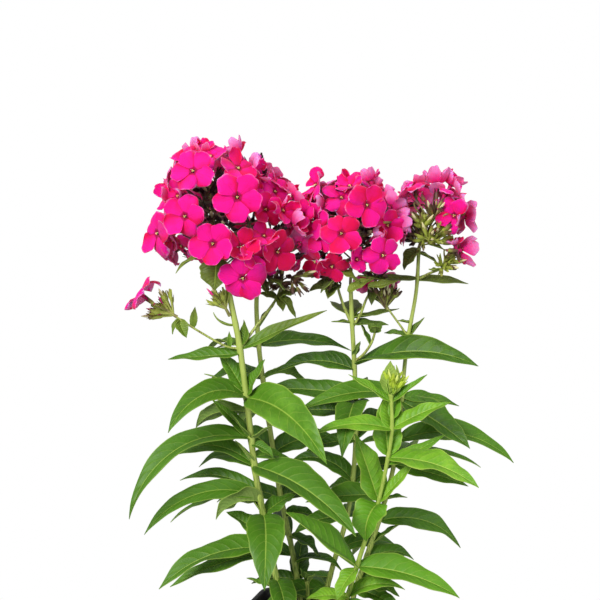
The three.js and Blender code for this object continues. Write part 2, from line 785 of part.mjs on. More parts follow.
function soilBody(stems) {
  const edge = POT_WALL + GAP;
  const block = loft([
    squareRing(POT_FLOOR + GAP, edge),
    squareRing(SOIL_TOP - SOIL_BUMP, edge),
    squareRing(SOIL_TOP - 0.4, edge + 12),
    squareRing(SOIL_TOP + 0.6, edge + 24),
    squareRing(SOIL_TOP + SOIL_BUMP, edge + 38),
  ]);
  const holes = stems.map(({ path, radii }) => {
    const [foot, neck] = [vec(...path[0]), vec(...path[1])];
    const run = neck.clone().sub(foot).normalize();
    foot.addScaledVector(run, -GAP);
    neck.addScaledVector(run, SOIL_HOLE_REACH);
    return tube([foot, neck], [radii[0] + 2 * GAP, radii[0] + 2 * GAP], STEM_SIDES);
  });
  return block.subtract(wasm.Manifold.union(holes).translate(PLANT_AT));
}

// ---- The object ---------------------------------------------------------------------------

const paint = (color, roughness) =>
  new THREE.MeshStandardMaterial({ color, roughness, metalness: 0 });

const potPlastic = paint('#17181a', 0.45);
const pottingMix = paint('#2f2218', 1);
const leafGreen = paint('#3f7a24', 0.5);
const youngGreen = paint('#6fa32e', 0.5);
const petalPink = paint('#e0107e', 0.55);
const budGreen = paint('#6b7a3c', 0.6);
const deadLeaf = paint('#a8822a', 0.8);

const object = new THREE.Group();

function place(name, geometry, material) {
  const mesh = new THREE.Mesh(geometry, material);
  mesh.name = name;
  object.add(mesh);
}

const stems = [STEM_LEFT, STEM_BACK, STEM_MIDDLE, STEM_RIGHT, SHOOT_FRONT, SHOOT_LOW];

place('pot', geometryFrom(potBody()), potPlastic);
place('soil', geometryFrom(soilBody(stems)), pottingMix);
place('stem_left', grown(leafyStem(STEM_LEFT)), leafGreen);
place('stem_back', grown(leafyStem(STEM_BACK)), leafGreen);
place('stem_middle', grown(leafyStem(STEM_MIDDLE)), leafGreen);
place('stem_right', grown(leafyStem(STEM_RIGHT)), leafGreen);
place('shoot_front', grown(leafyStem(SHOOT_FRONT)), youngGreen);
place('shoot_low', grown(leafyStem(SHOOT_LOW)), leafGreen);
place('head_left', grown(headBodies(HEAD_LEFT)), petalPink);
place('head_middle', grown(headBodies(HEAD_MIDDLE)), petalPink);
place('head_right', grown(headBodies(HEAD_RIGHT)), petalPink);
place('spray_left', grown(headBodies(SPRAY_LEFT)), petalPink);
place('spray_right', grown(headBodies(SPRAY_RIGHT)), petalPink);
place('spray_centre', grown(headBodies(SPRAY_CENTRE)), budGreen);
place('buds_left', grown(headBodies(BUDS_LEFT)), budGreen);
place('fallen_leaf', grown([leaf(vec(...FALLEN_LEAF.root), FALLEN_LEAF.shape)]), deadLeaf);

export default object;
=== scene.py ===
"""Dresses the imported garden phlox: the square nursery pot, the potting mix, the leafy stems,
the flower heads with their buds, and a fallen leaf. The floor, light and camera come last.
Metres, +Z up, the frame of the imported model."""

import math

import bmesh
import bpy
import numpy as np

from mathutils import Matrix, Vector


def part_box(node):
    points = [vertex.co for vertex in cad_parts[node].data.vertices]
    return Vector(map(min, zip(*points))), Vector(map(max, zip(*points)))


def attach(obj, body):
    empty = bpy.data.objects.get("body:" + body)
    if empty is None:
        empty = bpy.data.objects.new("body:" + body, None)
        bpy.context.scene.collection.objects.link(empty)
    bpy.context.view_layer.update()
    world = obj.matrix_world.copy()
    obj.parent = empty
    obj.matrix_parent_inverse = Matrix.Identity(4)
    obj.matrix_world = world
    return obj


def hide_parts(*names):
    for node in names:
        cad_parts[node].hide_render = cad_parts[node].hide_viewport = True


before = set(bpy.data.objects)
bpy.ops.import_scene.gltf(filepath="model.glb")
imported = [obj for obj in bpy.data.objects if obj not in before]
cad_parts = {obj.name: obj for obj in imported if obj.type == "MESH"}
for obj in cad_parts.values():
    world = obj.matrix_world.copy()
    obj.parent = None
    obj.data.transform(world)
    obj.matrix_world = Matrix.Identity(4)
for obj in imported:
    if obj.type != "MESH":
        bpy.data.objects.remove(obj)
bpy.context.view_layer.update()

# ---- Pot ---------------------------------------------------------------------------------
# The nursery pot is one thin black moulding of recycled polypropylene. Its sides taper so that
# pots stack, a stiff rim is turned out round the top, and round drain holes ring the base.

MM = 0.001
POT_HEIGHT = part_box("pot")[1].z
POT_TOP_HALF = 50.4 * MM
POT_BASE_HALF = 38 * MM
POT_CORNER = 11 * MM
POT_TURN = math.radians(-20)
POT_WALL = 1.5 * MM
POT_FLOOR = 2.2 * MM
RIM_HALF = 53 * MM
RIM_LEVEL = POT_HEIGHT - 7 * MM
STEP_LEVEL = POT_HEIGHT - 16 * MM
SLIMMER_BELOW_STEP = 0.985
DRAIN_HOLE_RADIUS = 4 * MM
DRAIN_HOLE_CIRCLE = 29 * MM
DRAIN_HOLES = 8
TOUCHING = 1e-4


def choose(*pieces):
    """Selects these pieces and nothing else, with the first one active."""
    bpy.ops.object.select_all(action="DESELECT")
    for piece in pieces:
        piece.select_set(True)
    bpy.context.view_layer.objects.active = pieces[0]


def widen(factor):
    """In edit mode, scales what is selected about the pot's upright middle line."""
    bpy.ops.transform.resize(value=(factor, factor, 1), center_override=(0, 0, 0))


def edit_mode(on=True):
    bpy.ops.object.mode_set(mode="EDIT" if on else "OBJECT")


def pick(piece, kind, test):
    """In edit mode, selects the faces or edges that pass `test` and nothing else."""
    bpy.ops.mesh.select_mode(type=kind)
    bpy.ops.mesh.select_all(action="DESELECT")
    body = bmesh.from_edit_mesh(piece.data)
    for part in body.faces if kind == "FACE" else body.edges:
        if test(part):
            part.select_set(True)
    bmesh.update_edit_mesh(piece.data)


def middle(face):
    return face.calc_center_median()


def flat_at(height):
    """A test for level faces at a height."""
    return lambda face: abs(face.normal.z) > 0.9 and abs(middle(face).z - height) < TOUCHING


def upright(least):
    """A test for edges that climb by more than `least`."""
    return lambda edge: abs(edge.verts[0].co.z - edge.verts[1].co.z) > least


def corner_between(height, outward):
    """A test for the edges at a height that join a level face and a side facing out or in."""

    def test(edge):
        place = (edge.verts[0].co + edge.verts[1].co) / 2
        if abs(place.z - height) > TOUCHING or len(edge.link_faces) != 2:
            return False
        level, side = sorted(edge.link_faces, key=lambda face: -abs(face.normal.z))
        if abs(level.normal.z) < 0.9 or abs(side.normal.z) > 0.5:
            return False
        return (side.normal.x * place.x + side.normal.y * place.y > 0) == outward

    return test


def apply_all(piece):
    choose(piece)
    for modifier in list(piece.modifiers):
        bpy.ops.object.modifier_apply(modifier=modifier.name)


def settle(piece, name):
    """Names a finished piece and puts its place and turn into its mesh."""
    choose(piece)
    bpy.ops.object.transform_apply(location=True, rotation=True, scale=True)
    piece.name = piece.data.name = name


def dress(piece, material, slot, *nodes):
    """Gives a piece its finish, puts it under the root body and hides the solids it stands for."""
    piece.data.materials.clear()
    piece.data.materials.append(material)
    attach(piece, "root")
    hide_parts(*nodes)


bpy.ops.object.select_all(action="DESELECT")
bpy.ops.mesh.primitive_cube_add(size=1, location=(0, 0, POT_HEIGHT / 2))
pot = bpy.context.object
pot.scale = (2 * POT_TOP_HALF, 2 * POT_TOP_HALF, POT_HEIGHT)
settle(pot, "nursery_pot")
edit_mode()
pick(pot, "FACE", flat_at(0))
widen(POT_BASE_HALF / POT_TOP_HALF)
pick(pot, "EDGE", upright(POT_HEIGHT / 2))
bpy.ops.mesh.bevel(offset=POT_CORNER, segments=8, affect="EDGES")
for level in (RIM_LEVEL, STEP_LEVEL, STEP_LEVEL - MM):
    bpy.ops.mesh.select_all(action="SELECT")
    bpy.ops.mesh.bisect(plane_co=(0, 0, level), plane_no=(0, 0, 1))
pick(pot, "FACE", lambda face: middle(face).z < STEP_LEVEL - MM)
widen(SLIMMER_BELOW_STEP)
pick(pot, "FACE", lambda face: abs(face.normal.z) < 0.5 and middle(face).z > RIM_LEVEL)
bpy.ops.mesh.extrude_region_move()
widen(RIM_HALF / POT_TOP_HALF)
pick(pot, "FACE", lambda face: face.normal.z > 0.9 and middle(face).xy.length < MM)
bpy.ops.mesh.inset(thickness=POT_WALL)
bpy.ops.mesh.extrude_region_move(TRANSFORM_OT_translate={"value": (0, 0, POT_FLOOR - POT_HEIGHT)})
widen((POT_BASE_HALF - POT_WALL) / (POT_TOP_HALF - POT_WALL))
for height, outward, radius in (
    (POT_HEIGHT, True, 1.3 * MM),
    (POT_HEIGHT, False, 0.5 * MM),
    (RIM_LEVEL, True, 0.6 * MM),
    (0, True, 1.2 * MM),
):
    pick(pot, "EDGE", corner_between(height, outward))
    bpy.ops.mesh.bevel(offset=radius, segments=3, affect="EDGES")
edit_mode(False)

drills = []
for hole in range(DRAIN_HOLES):
    angle = (hole + 0.5) * 2 * math.pi / DRAIN_HOLES
    bpy.ops.mesh.primitive_cylinder_add(
        vertices=24,
        radius=DRAIN_HOLE_RADIUS,
        depth=4 * POT_FLOOR,
        location=(DRAIN_HOLE_CIRCLE * math.cos(angle), DRAIN_HOLE_CIRCLE * math.sin(angle), 0),
    )
    drills.append(bpy.context.object)
choose(*drills)
bpy.ops.object.join()
cut = pot.modifiers.new("drain holes", "BOOLEAN")
cut.operation = "DIFFERENCE"
cut.object = drills[0]
apply_all(pot)
bpy.data.objects.remove(drills[0])
pot.rotation_euler.z = POT_TURN
settle(pot, "nursery_pot")
bpy.ops.object.shade_smooth_by_angle(angle=math.radians(35))


def linear(red, green, blue):
    """A colour given as it looks on a screen, 0 to 255, as a shader wants it."""
    return tuple(((channel / 255 + 0.055) / 1.055) ** 2.4 for channel in (red, green, blue)) + (1,)


def add(kind, inputs=None, **settings):
    """A node in the tree being built; an input is a value or another node's output."""
    made = tree.nodes.new("ShaderNode" + kind)
    for name, value in settings.items():
        setattr(made, name, value)
    for name, value in (inputs or {}).items():
        if isinstance(value, bpy.types.NodeSocket):
            tree.links.new(value, made.inputs[name])
        else:
            made.inputs[name].default_value = value
    return made


def maths(operation, *values):
    return add("Math", dict(enumerate(values)), operation=operation).outputs[0]


def times(value, factor):
    return maths("MULTIPLY", value, factor)


def scaled(value, factor, start):
    """`value` times `factor`, on top of `start`."""
    return maths("MULTIPLY_ADD", value, factor, start)


def where(space):
    """The place on the piece: "Object" is in metres, "UV" runs across and along a blade."""
    return add("TexCoord").outputs[space]


def axes(vector):
    return add("SeparateXYZ", {0: vector}).outputs


def reading(name):
    """A number that the mesh's points carry."""
    return add("Attribute", attribute_name=name).outputs["Fac"]


def noise(place, scale, **inputs):
    return add("TexNoise", {"Vector": place, "Scale": scale, **inputs}).outputs["Fac"]


def blend(factor, first, second):
    """Between two colours, each another blend or as it looks on a screen, 0 to 255."""
    sides = [linear(*side) if isinstance(side, tuple) else side for side in (first, second)]
    return add("Mix", {0: factor, 6: sides[0], 7: sides[1]}, data_type="RGBA").outputs[2]


def between(value, low, high):
    """0 below `low`, 1 above `high`, smooth between them; or the other way round."""
    limits = {"Value": value, "From Min": low, "From Max": high}
    return add("MapRange", limits, interpolation_type="SMOOTHSTEP").outputs[0]


def start_group(name, **inputs):
    """A node group with float inputs, named with their usual values."""
    global tree
    tree = bpy.data.node_groups.new(name, "ShaderNodeTree")
    for socket, value in inputs.items():
        made = tree.interface.new_socket(socket, in_out="INPUT", socket_type="NodeSocketFloat")
        made.default_value = value
    return tree, tree.nodes.new("NodeGroupInput").outputs


def finish_group(**outputs):
    for socket in outputs:
        tree.interface.new_socket(socket, in_out="OUTPUT", socket_type="NodeSocketFloat")
    end = tree.nodes.new("NodeGroupOutput")
    for socket, value in outputs.items():
        tree.links.new(value, end.inputs[socket])


def use_group(group, **values):
    made = tree.nodes.new("ShaderNodeGroup")
    made.node_tree = group
    for name, value in values.items():
        made.inputs[name].default_value = value
    return made.outputs


def blotches(size, spread=0.3):
    """Soft uneven patches, `size` millimetres across; a small `spread` gives them crisp edges."""
    return use_group(mottle, Size=size * MM, Spread=spread)["Mask"]


def start_material(name, roughness, **constants):
    """A material with one Principled shader and what is the same all over its surface."""
    global tree
    material = bpy.data.materials.new(name)
    material.use_nodes = True
    tree = material.node_tree
    shader = tree.nodes["Principled BSDF"]
    shader.inputs["Roughness"].default_value = roughness
    for name, value in constants.items():
        shader.inputs[name.replace("_", " ")].default_value = value
    return material, shader


def finish_surface(shader, colour, height, strength, depth, roughness=None):
    """Links what changes over the surface; `depth` is the bump's, in millimetres."""
    tree.links.new(colour, shader.inputs["Base Color"])
    if roughness is not None:
        tree.links.new(roughness, shader.inputs["Roughness"])
    bump = add("Bump", {"Height": height, "Strength": strength, "Distance": depth * MM})
    tree.links.new(bump.outputs[0], shader.inputs["Normal"])


# Soft blotches, for whatever grew, was moulded or got dirty unevenly.
mottle, size_and_spread = start_group("mottle", Size=6 * MM, Spread=0.3)
patches = noise(
    where("Object"), maths("DIVIDE", 1.0, size_and_spread["Size"]), Detail=5, Roughness=0.6
)
low, high = (maths(side, 0.5, size_and_spread["Spread"]) for side in ("SUBTRACT", "ADD"))
finish_group(Mask=between(patches, low, high))

pot_plastic, shader = start_material("pot_plastic", 0.42, Specular_IOR_Level=0.45)
scuffs = blotches(3, 0.12)
dust = blotches(22, 0.28)
near_base = between(axes(where("Object"))["Z"], 35 * MM, 0.0)
colour = blend(times(dust, scaled(near_base, 0.5, 0.22)), (18, 18, 20), (52, 47, 42))
colour = blend(times(scuffs, 0.12), colour, (70, 70, 72))
grain = noise(where("Object"), 1400)
finish_surface(shader, colour, grain, 0.25, 0.1, roughness=scaled(dust, 0.22, 0.34))
dress(pot, pot_plastic, "pot_plastic", "pot")

# ---- Potting mix -------------------------------------------------------------------------
# The pot is filled to a finger's width under the rim with peat and composted bark. Its top is
# lumpy, with crumbs, chips of bark and a few white grains of perlite lying on it.

SOIL_TOP = 90 * MM
SOIL_BOTTOM = 3 * MM
SOIL_EDGE = 2.1 * MM
SOIL_GRAIN = 0.28 * MM
CRUMBS = 300
CRUMBS_FROM_EDGE = 4 * MM
CUT_CORNERS = 1.75
PERLITE_SHARE = 0.035
BARK_FROM = 0.82

chance = np.random.default_rng(11)


def pot_half(height):
    """Half the width of the pot's outer wall at a height."""
    return POT_BASE_HALF + (POT_TOP_HALF - POT_BASE_HALF) * height / POT_HEIGHT


def points_of(piece):
    flat = np.empty(3 * len(piece.data.vertices))
    piece.data.vertices.foreach_get("co", flat)
    return flat.reshape(-1, 3)


def set_points(piece, points):
    piece.data.vertices.foreach_set("co", np.asarray(points, float).ravel())
    piece.data.update()


def mark(piece, **numbers):
    """Gives each point of a piece numbers that its material reads."""
    layers = piece.data.attributes
    for name, value in numbers.items():
        layer = layers.get(name) or layers.new(name, "FLOAT", "POINT")
        value = np.broadcast_to(np.asarray(value, np.float32), len(piece.data.vertices))
        layer.data.foreach_set("value", value.copy())


def copy_of(master, points, **numbers):
    """One more of a shape that repeats, with its own mesh, its points moved to `points`."""
    made = bpy.data.objects.new(master.name, master.data.copy())
    bpy.context.scene.collection.objects.link(made)
    set_points(made, points)
    mark(made, **numbers)
    return made


def joined(name, parts, sharp=50):
    """Makes one smooth piece of many parts; edges turned more than `sharp` degrees stay crisp."""
    choose(*parts)
    bpy.ops.object.join()
    whole = parts[0]
    settle(whole, name)
    bpy.ops.object.shade_smooth_by_angle(angle=math.radians(sharp))
    return whole


def soil_height(x, y):
    """The lumpy top of the mix, a little higher in the middle."""
    x, y = x / MM, y / MM
    lumps = 1.1 * np.sin(x * 0.21 + 1.3) * np.sin(y * 0.17 + 0.4)
    lumps = lumps + 0.7 * np.sin(x * 0.53 + y * 0.31) + 0.5 * np.sin(y * 0.71 - x * 0.4)
    return SOIL_TOP + (lumps - (np.hypot(x, y) / 40) ** 2 + 0.4) * MM


bpy.ops.mesh.primitive_grid_add(x_subdivisions=72, y_subdivisions=72, size=2)
mix = bpy.context.object
soil_half = pot_half(SOIL_TOP) - SOIL_EDGE
spread = points_of(mix)[:, :2] * soil_half
middle_of_corner = pot_half(SOIL_TOP) - POT_CORNER
past = np.maximum(np.abs(spread) - middle_of_corner, 0)
reach = np.maximum(np.hypot(past[:, 0], past[:, 1]), 1e-9)
pull = np.minimum(1, (POT_CORNER - SOIL_EDGE) / reach)[:, None]
spread = np.sign(spread) * (np.minimum(np.abs(spread), middle_of_corner) + past * pull)
roughness_of_top = chance.normal(0, SOIL_GRAIN, len(spread))
set_points(mix, np.column_stack([spread, soil_height(*spread.T) + roughness_of_top]))
choose(mix)
edit_mode()
bpy.ops.mesh.select_mode(type="EDGE")
bpy.ops.mesh.select_all(action="SELECT")
bpy.ops.mesh.region_to_loop()
bpy.ops.mesh.extrude_region_move()
narrow = (pot_half(POT_FLOOR) - SOIL_EDGE) / soil_half
bpy.ops.transform.resize(value=(narrow, narrow, 0), center_override=(0, 0, SOIL_BOTTOM))
bpy.ops.mesh.edge_face_add()
edit_mode(False)
mark(mix, grain=0.0)

bpy.ops.mesh.primitive_ico_sphere_add(subdivisions=1, radius=1)
crumb = bpy.context.object
crumb_points = points_of(crumb)
soil_parts = [mix]
soil_reach = soil_half - CRUMBS_FROM_EDGE
for _ in range(CRUMBS):
    x, y = chance.uniform(-soil_reach, soil_reach, 2)
    if abs(x) + abs(y) > CUT_CORNERS * soil_reach:
        continue
    bark = chance.random()
    chip = bark > BARK_FROM
    size = chance.uniform(0.7, 1.6) * MM * (1.6 if chip else 1)
    stretch = np.array([chance.uniform(1, 2.2), 1, 0.35 if chip else 0.8])
    turn = chance.uniform(0, math.pi)
    shape = crumb_points * stretch * size * chance.uniform(0.75, 1.25, crumb_points.shape)
    turned = np.column_stack([
        shape[:, 0] * math.cos(turn) - shape[:, 1] * math.sin(turn),
        shape[:, 0] * math.sin(turn) + shape[:, 1] * math.cos(turn),
        shape[:, 2],
    ])
    kind = 1.0 if bark < PERLITE_SHARE else 0.5 if chip else 0.1
    place = np.array([x, y, soil_height(x, y) + 0.35 * size])
    soil_parts.append(copy_of(crumb, turned + place, grain=kind))
bpy.data.objects.remove(crumb)
potting_mix = joined("potting_mix", soil_parts, 28)
potting_mix.rotation_euler.z = POT_TURN
settle(potting_mix, "potting_mix")

peat, shader = start_material("peat", 0.95)
fibre = blotches(1.2, 0.2)
colour = blend(blotches(9, 0.22), (38, 27, 19), (66, 48, 34))
colour = blend(times(fibre, 0.5), colour, (92, 70, 48))
# Chips of bark, then grains of perlite.
colour = blend(between(reading("grain"), 0.3, 0.45), colour, (112, 74, 44))
colour = blend(between(reading("grain"), 0.8, 0.95), colour, (226, 222, 212))
finish_surface(shader, colour, fibre, 0.7, 0.8)
dress(potting_mix, peat, "potting_mix", "soil")

# ---- Left stem ---------------------------------------------------------------------------
# The tallest stem, round and slightly fleshy, with lance-shaped leaves growing in pairs from
# its joints. The blades are thin and limp: they arch out and hang under their own weight.

PLANT_AT = np.array([20, 10, 0])
LEAF_THICKNESS = 0.45
MIDRIB_DEPTH = 0.8
JOINT_SWELLING = 0.4
JOINT_LENGTH = 2.4
BASE_FULLNESS = 0.58
TIP_TAPER = 1.08
OUTLINE_PEAK = 0.344
POINTS_TO_MIDRIB = 1.25
VEIN_PAIRS = 11
VEIN_SLANT = 1.9


def flat_sheet(name, across, along):
    """A thin two-sided sheet to shape, with each point's place across (-1 to 1) and along it
    (0 to 1) and the side it is on."""
    bpy.ops.mesh.primitive_grid_add(x_subdivisions=across, y_subdivisions=along, size=2)
    sheet = bpy.context.object
    sheet.name = name
    shell = sheet.modifiers.new("second side", "SOLIDIFY")
    shell.thickness = 1
    shell.offset = -1
    apply_all(sheet)
    across, along, layer = points_of(sheet).T
    mark(sheet, under=-layer)
    return sheet, across, (along + 1) / 2, layer


def upright_rod(name, sides, rings):
    """A straight rod to bend, 1 long and 1 in radius, with its points."""
    bpy.ops.mesh.primitive_cylinder_add(vertices=sides, radius=1, depth=1, location=(0, 0, 0.5))
    made = bpy.context.object
    settle(made, name)
    edit_mode()
    pick(made, "EDGE", upright(0.5))
    bpy.ops.mesh.subdivide(number_cuts=rings)
    edit_mode(False)
    return made, points_of(made)


blade, blade_across, blade_along, blade_layer = flat_sheet("blade", 12, 26)
blade_across = np.sign(blade_across) * np.abs(blade_across) ** POINTS_TO_MIDRIB
rod, rod_grid = upright_rod("rod", 12, 95)


def unit_at(azimuth, elevation):
    """Unit vectors for angles in degrees; azimuth 0 is +X and 90 is +Y."""
    turn, climb = np.radians(azimuth), np.radians(elevation)
    flat = np.cos(climb)
    return np.stack([flat * np.cos(turn), flat * np.sin(turn), np.sin(climb) + 0 * turn], axis=-1)


def unit(vectors):
    return vectors / np.linalg.norm(vectors, axis=-1, keepdims=True)


def rows(table, places, at):
    """Reads the rows of `table`, given at `places`, at other places between them."""
    return np.column_stack([np.interp(at, places, column) for column in np.asarray(table).T])


def curve_through(path, count=160):
    """Points of a smooth curve through a path."""
    knots = np.array(path, float)
    knots = np.vstack([2 * knots[0] - knots[1], knots, 2 * knots[-1] - knots[-2]])
    place = np.linspace(0, len(path) - 1, count)
    start = np.minimum(place.astype(int), len(path) - 2)
    t = (place - start)[:, None]
    a, b, c, d = (knots[start + k] for k in range(4))
    bend = (2 * a - 5 * b + 4 * c - d) * t**2 + (3 * b - a - 3 * c + d) * t**3
    return b + ((c - a) * t + bend) / 2


def rod_along(master, grid, curve, radius):
    """A copy of a straight rod bent along a curve; `radius` follows the curve's points."""
    places = np.linspace(0, 1, len(curve))
    run = unit(np.gradient(curve, axis=0))
    whole = unit(curve[-1] - curve[0])
    side = unit(np.cross([0, 1, 0] if abs(whole[1]) < 0.7 else [1, 0, 0], run))
    other = np.cross(run, side)
    at = grid[:, 2]
    reach = np.interp(at, places, np.broadcast_to(radius, len(curve)))[:, None]
    offset = rows(side, places, at) * grid[:, :1] + rows(other, places, at) * grid[:, 1:2]
    return copy_of(master, (rows(curve, places, at) + reach * offset + PLANT_AT) * MM)


def leaf(
    root, azimuth, length, width, rise, tip, roll=0, sweep=0, twist=0, tone=0.5, seed=0, fold=None
):
    """A blade that leaves `root` along `azimuth`, climbing at `rise` degrees at first and at
    `tip` degrees at its end. `roll` turns it about its midrib, `sweep` bends it sideways,
    `twist` adds to the roll along it and `fold` lifts its two halves into a V."""
    luck = np.random.default_rng([seed, int(length), int(azimuth) % 360])
    fine = np.linspace(0, 1, 81)
    runs = unit_at(azimuth + sweep * fine, rise + (tip - rise) * fine)
    spine = np.vstack([np.zeros(3), np.cumsum((runs[1:] + runs[:-1]) / 2, axis=0)]) * length / 80
    heading = azimuth + sweep * blade_along
    forward = unit_at(heading, rise + (tip - rise) * blade_along)
    level = unit_at(heading + 90, 0)
    up = np.cross(forward, level)
    twist += luck.uniform(-7, 7)
    lean = np.radians(roll + twist * (blade_along - 0.3))[:, None]
    left = level * np.cos(lean) + up * np.sin(lean)
    normal = up * np.cos(lean) - level * np.sin(lean)
    outline = blade_along**BASE_FULLNESS * (1 - blade_along) ** TIP_TAPER / OUTLINE_PEAK
    ripple = 1 + 0.03 * np.sin(blade_along * luck.uniform(25, 40) + 3 * np.sign(blade_across))
    half = np.maximum(width / 2 * outline * ripple, 0.8 * (1 - blade_along) + 0.1)
    reach = np.abs(blade_across)
    fold = luck.uniform(12, 24) if fold is None else fold
    lift = half * math.tan(math.radians(fold)) * (reach - 0.4)
    lift += 0.10 * half * np.sin(np.pi * reach)
    phase = luck.uniform(0, 2 * math.pi)
    wave = np.sin(2 * np.pi * luck.uniform(1.4, 2.3) * blade_along + phase + 0.8 * blade_across)
    lift += luck.uniform(0.04, 0.12) * width * wave * reach**2 * np.sin(np.pi * blade_along)
    rib = np.exp(-((blade_across / 0.12) ** 2)) * (1 - blade_along) ** 0.6
    lift += blade_layer * (LEAF_THICKNESS + MIDRIB_DEPTH * rib) - 0.18 * rib
    points = root + rows(spine, fine, blade_along)
    points += left * (half * blade_across)[:, None] + normal * lift[:, None]
    return copy_of(blade, (points + PLANT_AT) * MM, tone=tone + luck.uniform(-0.14, 0.14))


def leafy_stem(name, tone, finishes, radii, path, leaves, twigs=()):
    """A stem and its twigs as one piece, and all their leaves as another. `radii` are those at
    the foot and the top. A leaf is [height, ...], and on a twig [share of its length, ...]."""
    stalk_material, leaf_material, slot = finishes
    curve = curve_through(path)
    radius = np.linspace(*radii, len(curve))
    for height, *_ in leaves:
        radius += JOINT_SWELLING / 2 * np.exp(-(((curve[:, 2] - height) / JOINT_LENGTH) ** 2))
    rods = [rod_along(rod, rod_grid, curve, radius)]
    mark(rods[0], woody=0.25 * (rod_grid[:, 2] > 0.9))
    blades = []
    for index, (height, *shape) in enumerate(leaves):
        root = rows(curve, curve[:, 2], [height])[0]
        blades.append(leaf(root, *shape, tone=tone, seed=index))
    for path, radii, *small_leaves in twigs:
        curve = curve_through(path)
        rods.append(rod_along(rod, rod_grid, curve, np.linspace(*radii, len(curve))))
        mark(rods[-1], woody=0.6)
        for index, (share, *shape) in enumerate(small_leaves):
            root = rows(curve, np.linspace(0, 1, len(curve)), [share])[0]
            blades.append(leaf(root, *shape, tone=tone + 0.1, seed=50 + index))
    whole_stalk = joined(name + "_stalk", rods)
    whole_leaves = joined(name + "_leaves", blades)
    dress(whole_stalk, stalk_material, slot, name)
    dress(whole_leaves, leaf_material, slot, name)


# The veins of a blade: a midrib, and curved side veins that leave it in pairs.
veins, _ = start_group("blade_veins")
across, along = axes(where("UV"))["X"], axes(where("UV"))["Y"]
side = maths("POWER", maths("ABSOLUTE", scaled(across, 2.0, -1.0)), POINTS_TO_MIDRIB)
slanted = times(maths("POWER", side, 1.3), VEIN_SLANT)
along = scaled(noise(where("Object"), 70), 0.9, times(along, VEIN_PAIRS))
ridge = times(maths("SUBTRACT", along, slanted), math.pi)
ridge = maths("ABSOLUTE", maths("SINE", ridge))
fading = between(side, 1.0, 0.55)
finish_group(
    Midrib=between(side, 0.045, 0.01),
    Veins=times(between(ridge, 0.24, 0.0), fading),
    Quilt=times(maths("SQRT", ridge), fading),
    Margin=between(side, 0.9, 1.0),
)


def leaf_finish(name, deep, middling, bright, below, rib):
    """A leaf: waxy above, paler and duller below, with light veins and uneven green; the small
    ones high up, under the flowers, are more olive."""
    material, shader = start_material(name, 0.5, Specular_IOR_Level=0.32)
    marks = use_group(veins)
    height_up = axes(where("Object"))["Z"]
    under = reading("under")
    broad, small = blotches(14), blotches(1.6)
    shade = scaled(broad, 0.3, maths("SUBTRACT", reading("tone"), 0.15))
    shade = scaled(small, 0.16, shade)
    colour = blend(between(shade, 0.0, 0.55), deep, middling)
    colour = blend(between(shade, 0.5, 1.1), colour, bright)
    colour = blend(under, colour, blend(between(shade, 0.0, 1.0), middling, below))
    bronzed = times(between(height_up, 310 * MM, 356 * MM), 0.75)
    olive = blend(between(shade, 0.0, 1.0), (58, 56, 26), (128, 138, 54))
    colour = blend(bronzed, colour, olive)
    for part, share in (("Veins", 0.2), ("Margin", 0.45), ("Midrib", 0.6)):
        colour = blend(times(marks[part], share), colour, rib)
    height = scaled(small, 0.25, marks["Quilt"])
    gloss = scaled(under, 0.2, scaled(broad, 0.14, 0.42))
    finish_surface(shader, colour, height, 0.7, 0.45, roughness=gloss)
    return material


def drawn_out(place, factors):
    """Squeezes a place, so that a pattern on it is drawn out."""
    return add("VectorMath", {0: place, 1: factors}, operation="MULTIPLY").outputs[0]


def stalk_finish(name, low, high, flush):
    """A stem: fine lengthwise ribs, greener below and paler above, with a brown flush."""
    material, shader = start_material(name, 0.5)
    ribs = noise(drawn_out(where("Object"), (1.0, 1.0, 0.06)), 1500, Detail=2)
    colour = blend(between(axes(where("Object"))["Z"], 110 * MM, 330 * MM), low, high)
    colour = blend(scaled(blotches(9, 0.25), 0.35, reading("woody")), colour, flush)
    colour = blend(between(ribs, 0.62, 0.45), colour, high)
    finish_surface(shader, colour, ribs, 0.5, 0.2)
    return material


leaf_green = leaf_finish(
    "leaf_green",
    deep=(34, 66, 16),
    middling=(74, 121, 24),
    bright=(108, 160, 38),
    below=(136, 156, 84),
    rib=(168, 194, 84),
)
stem_green = stalk_finish(
    "stem_green", low=(104, 136, 42), high=(172, 190, 92), flush=(112, 98, 54)
)
GROWN = (stem_green, leaf_green, "leaf_green")

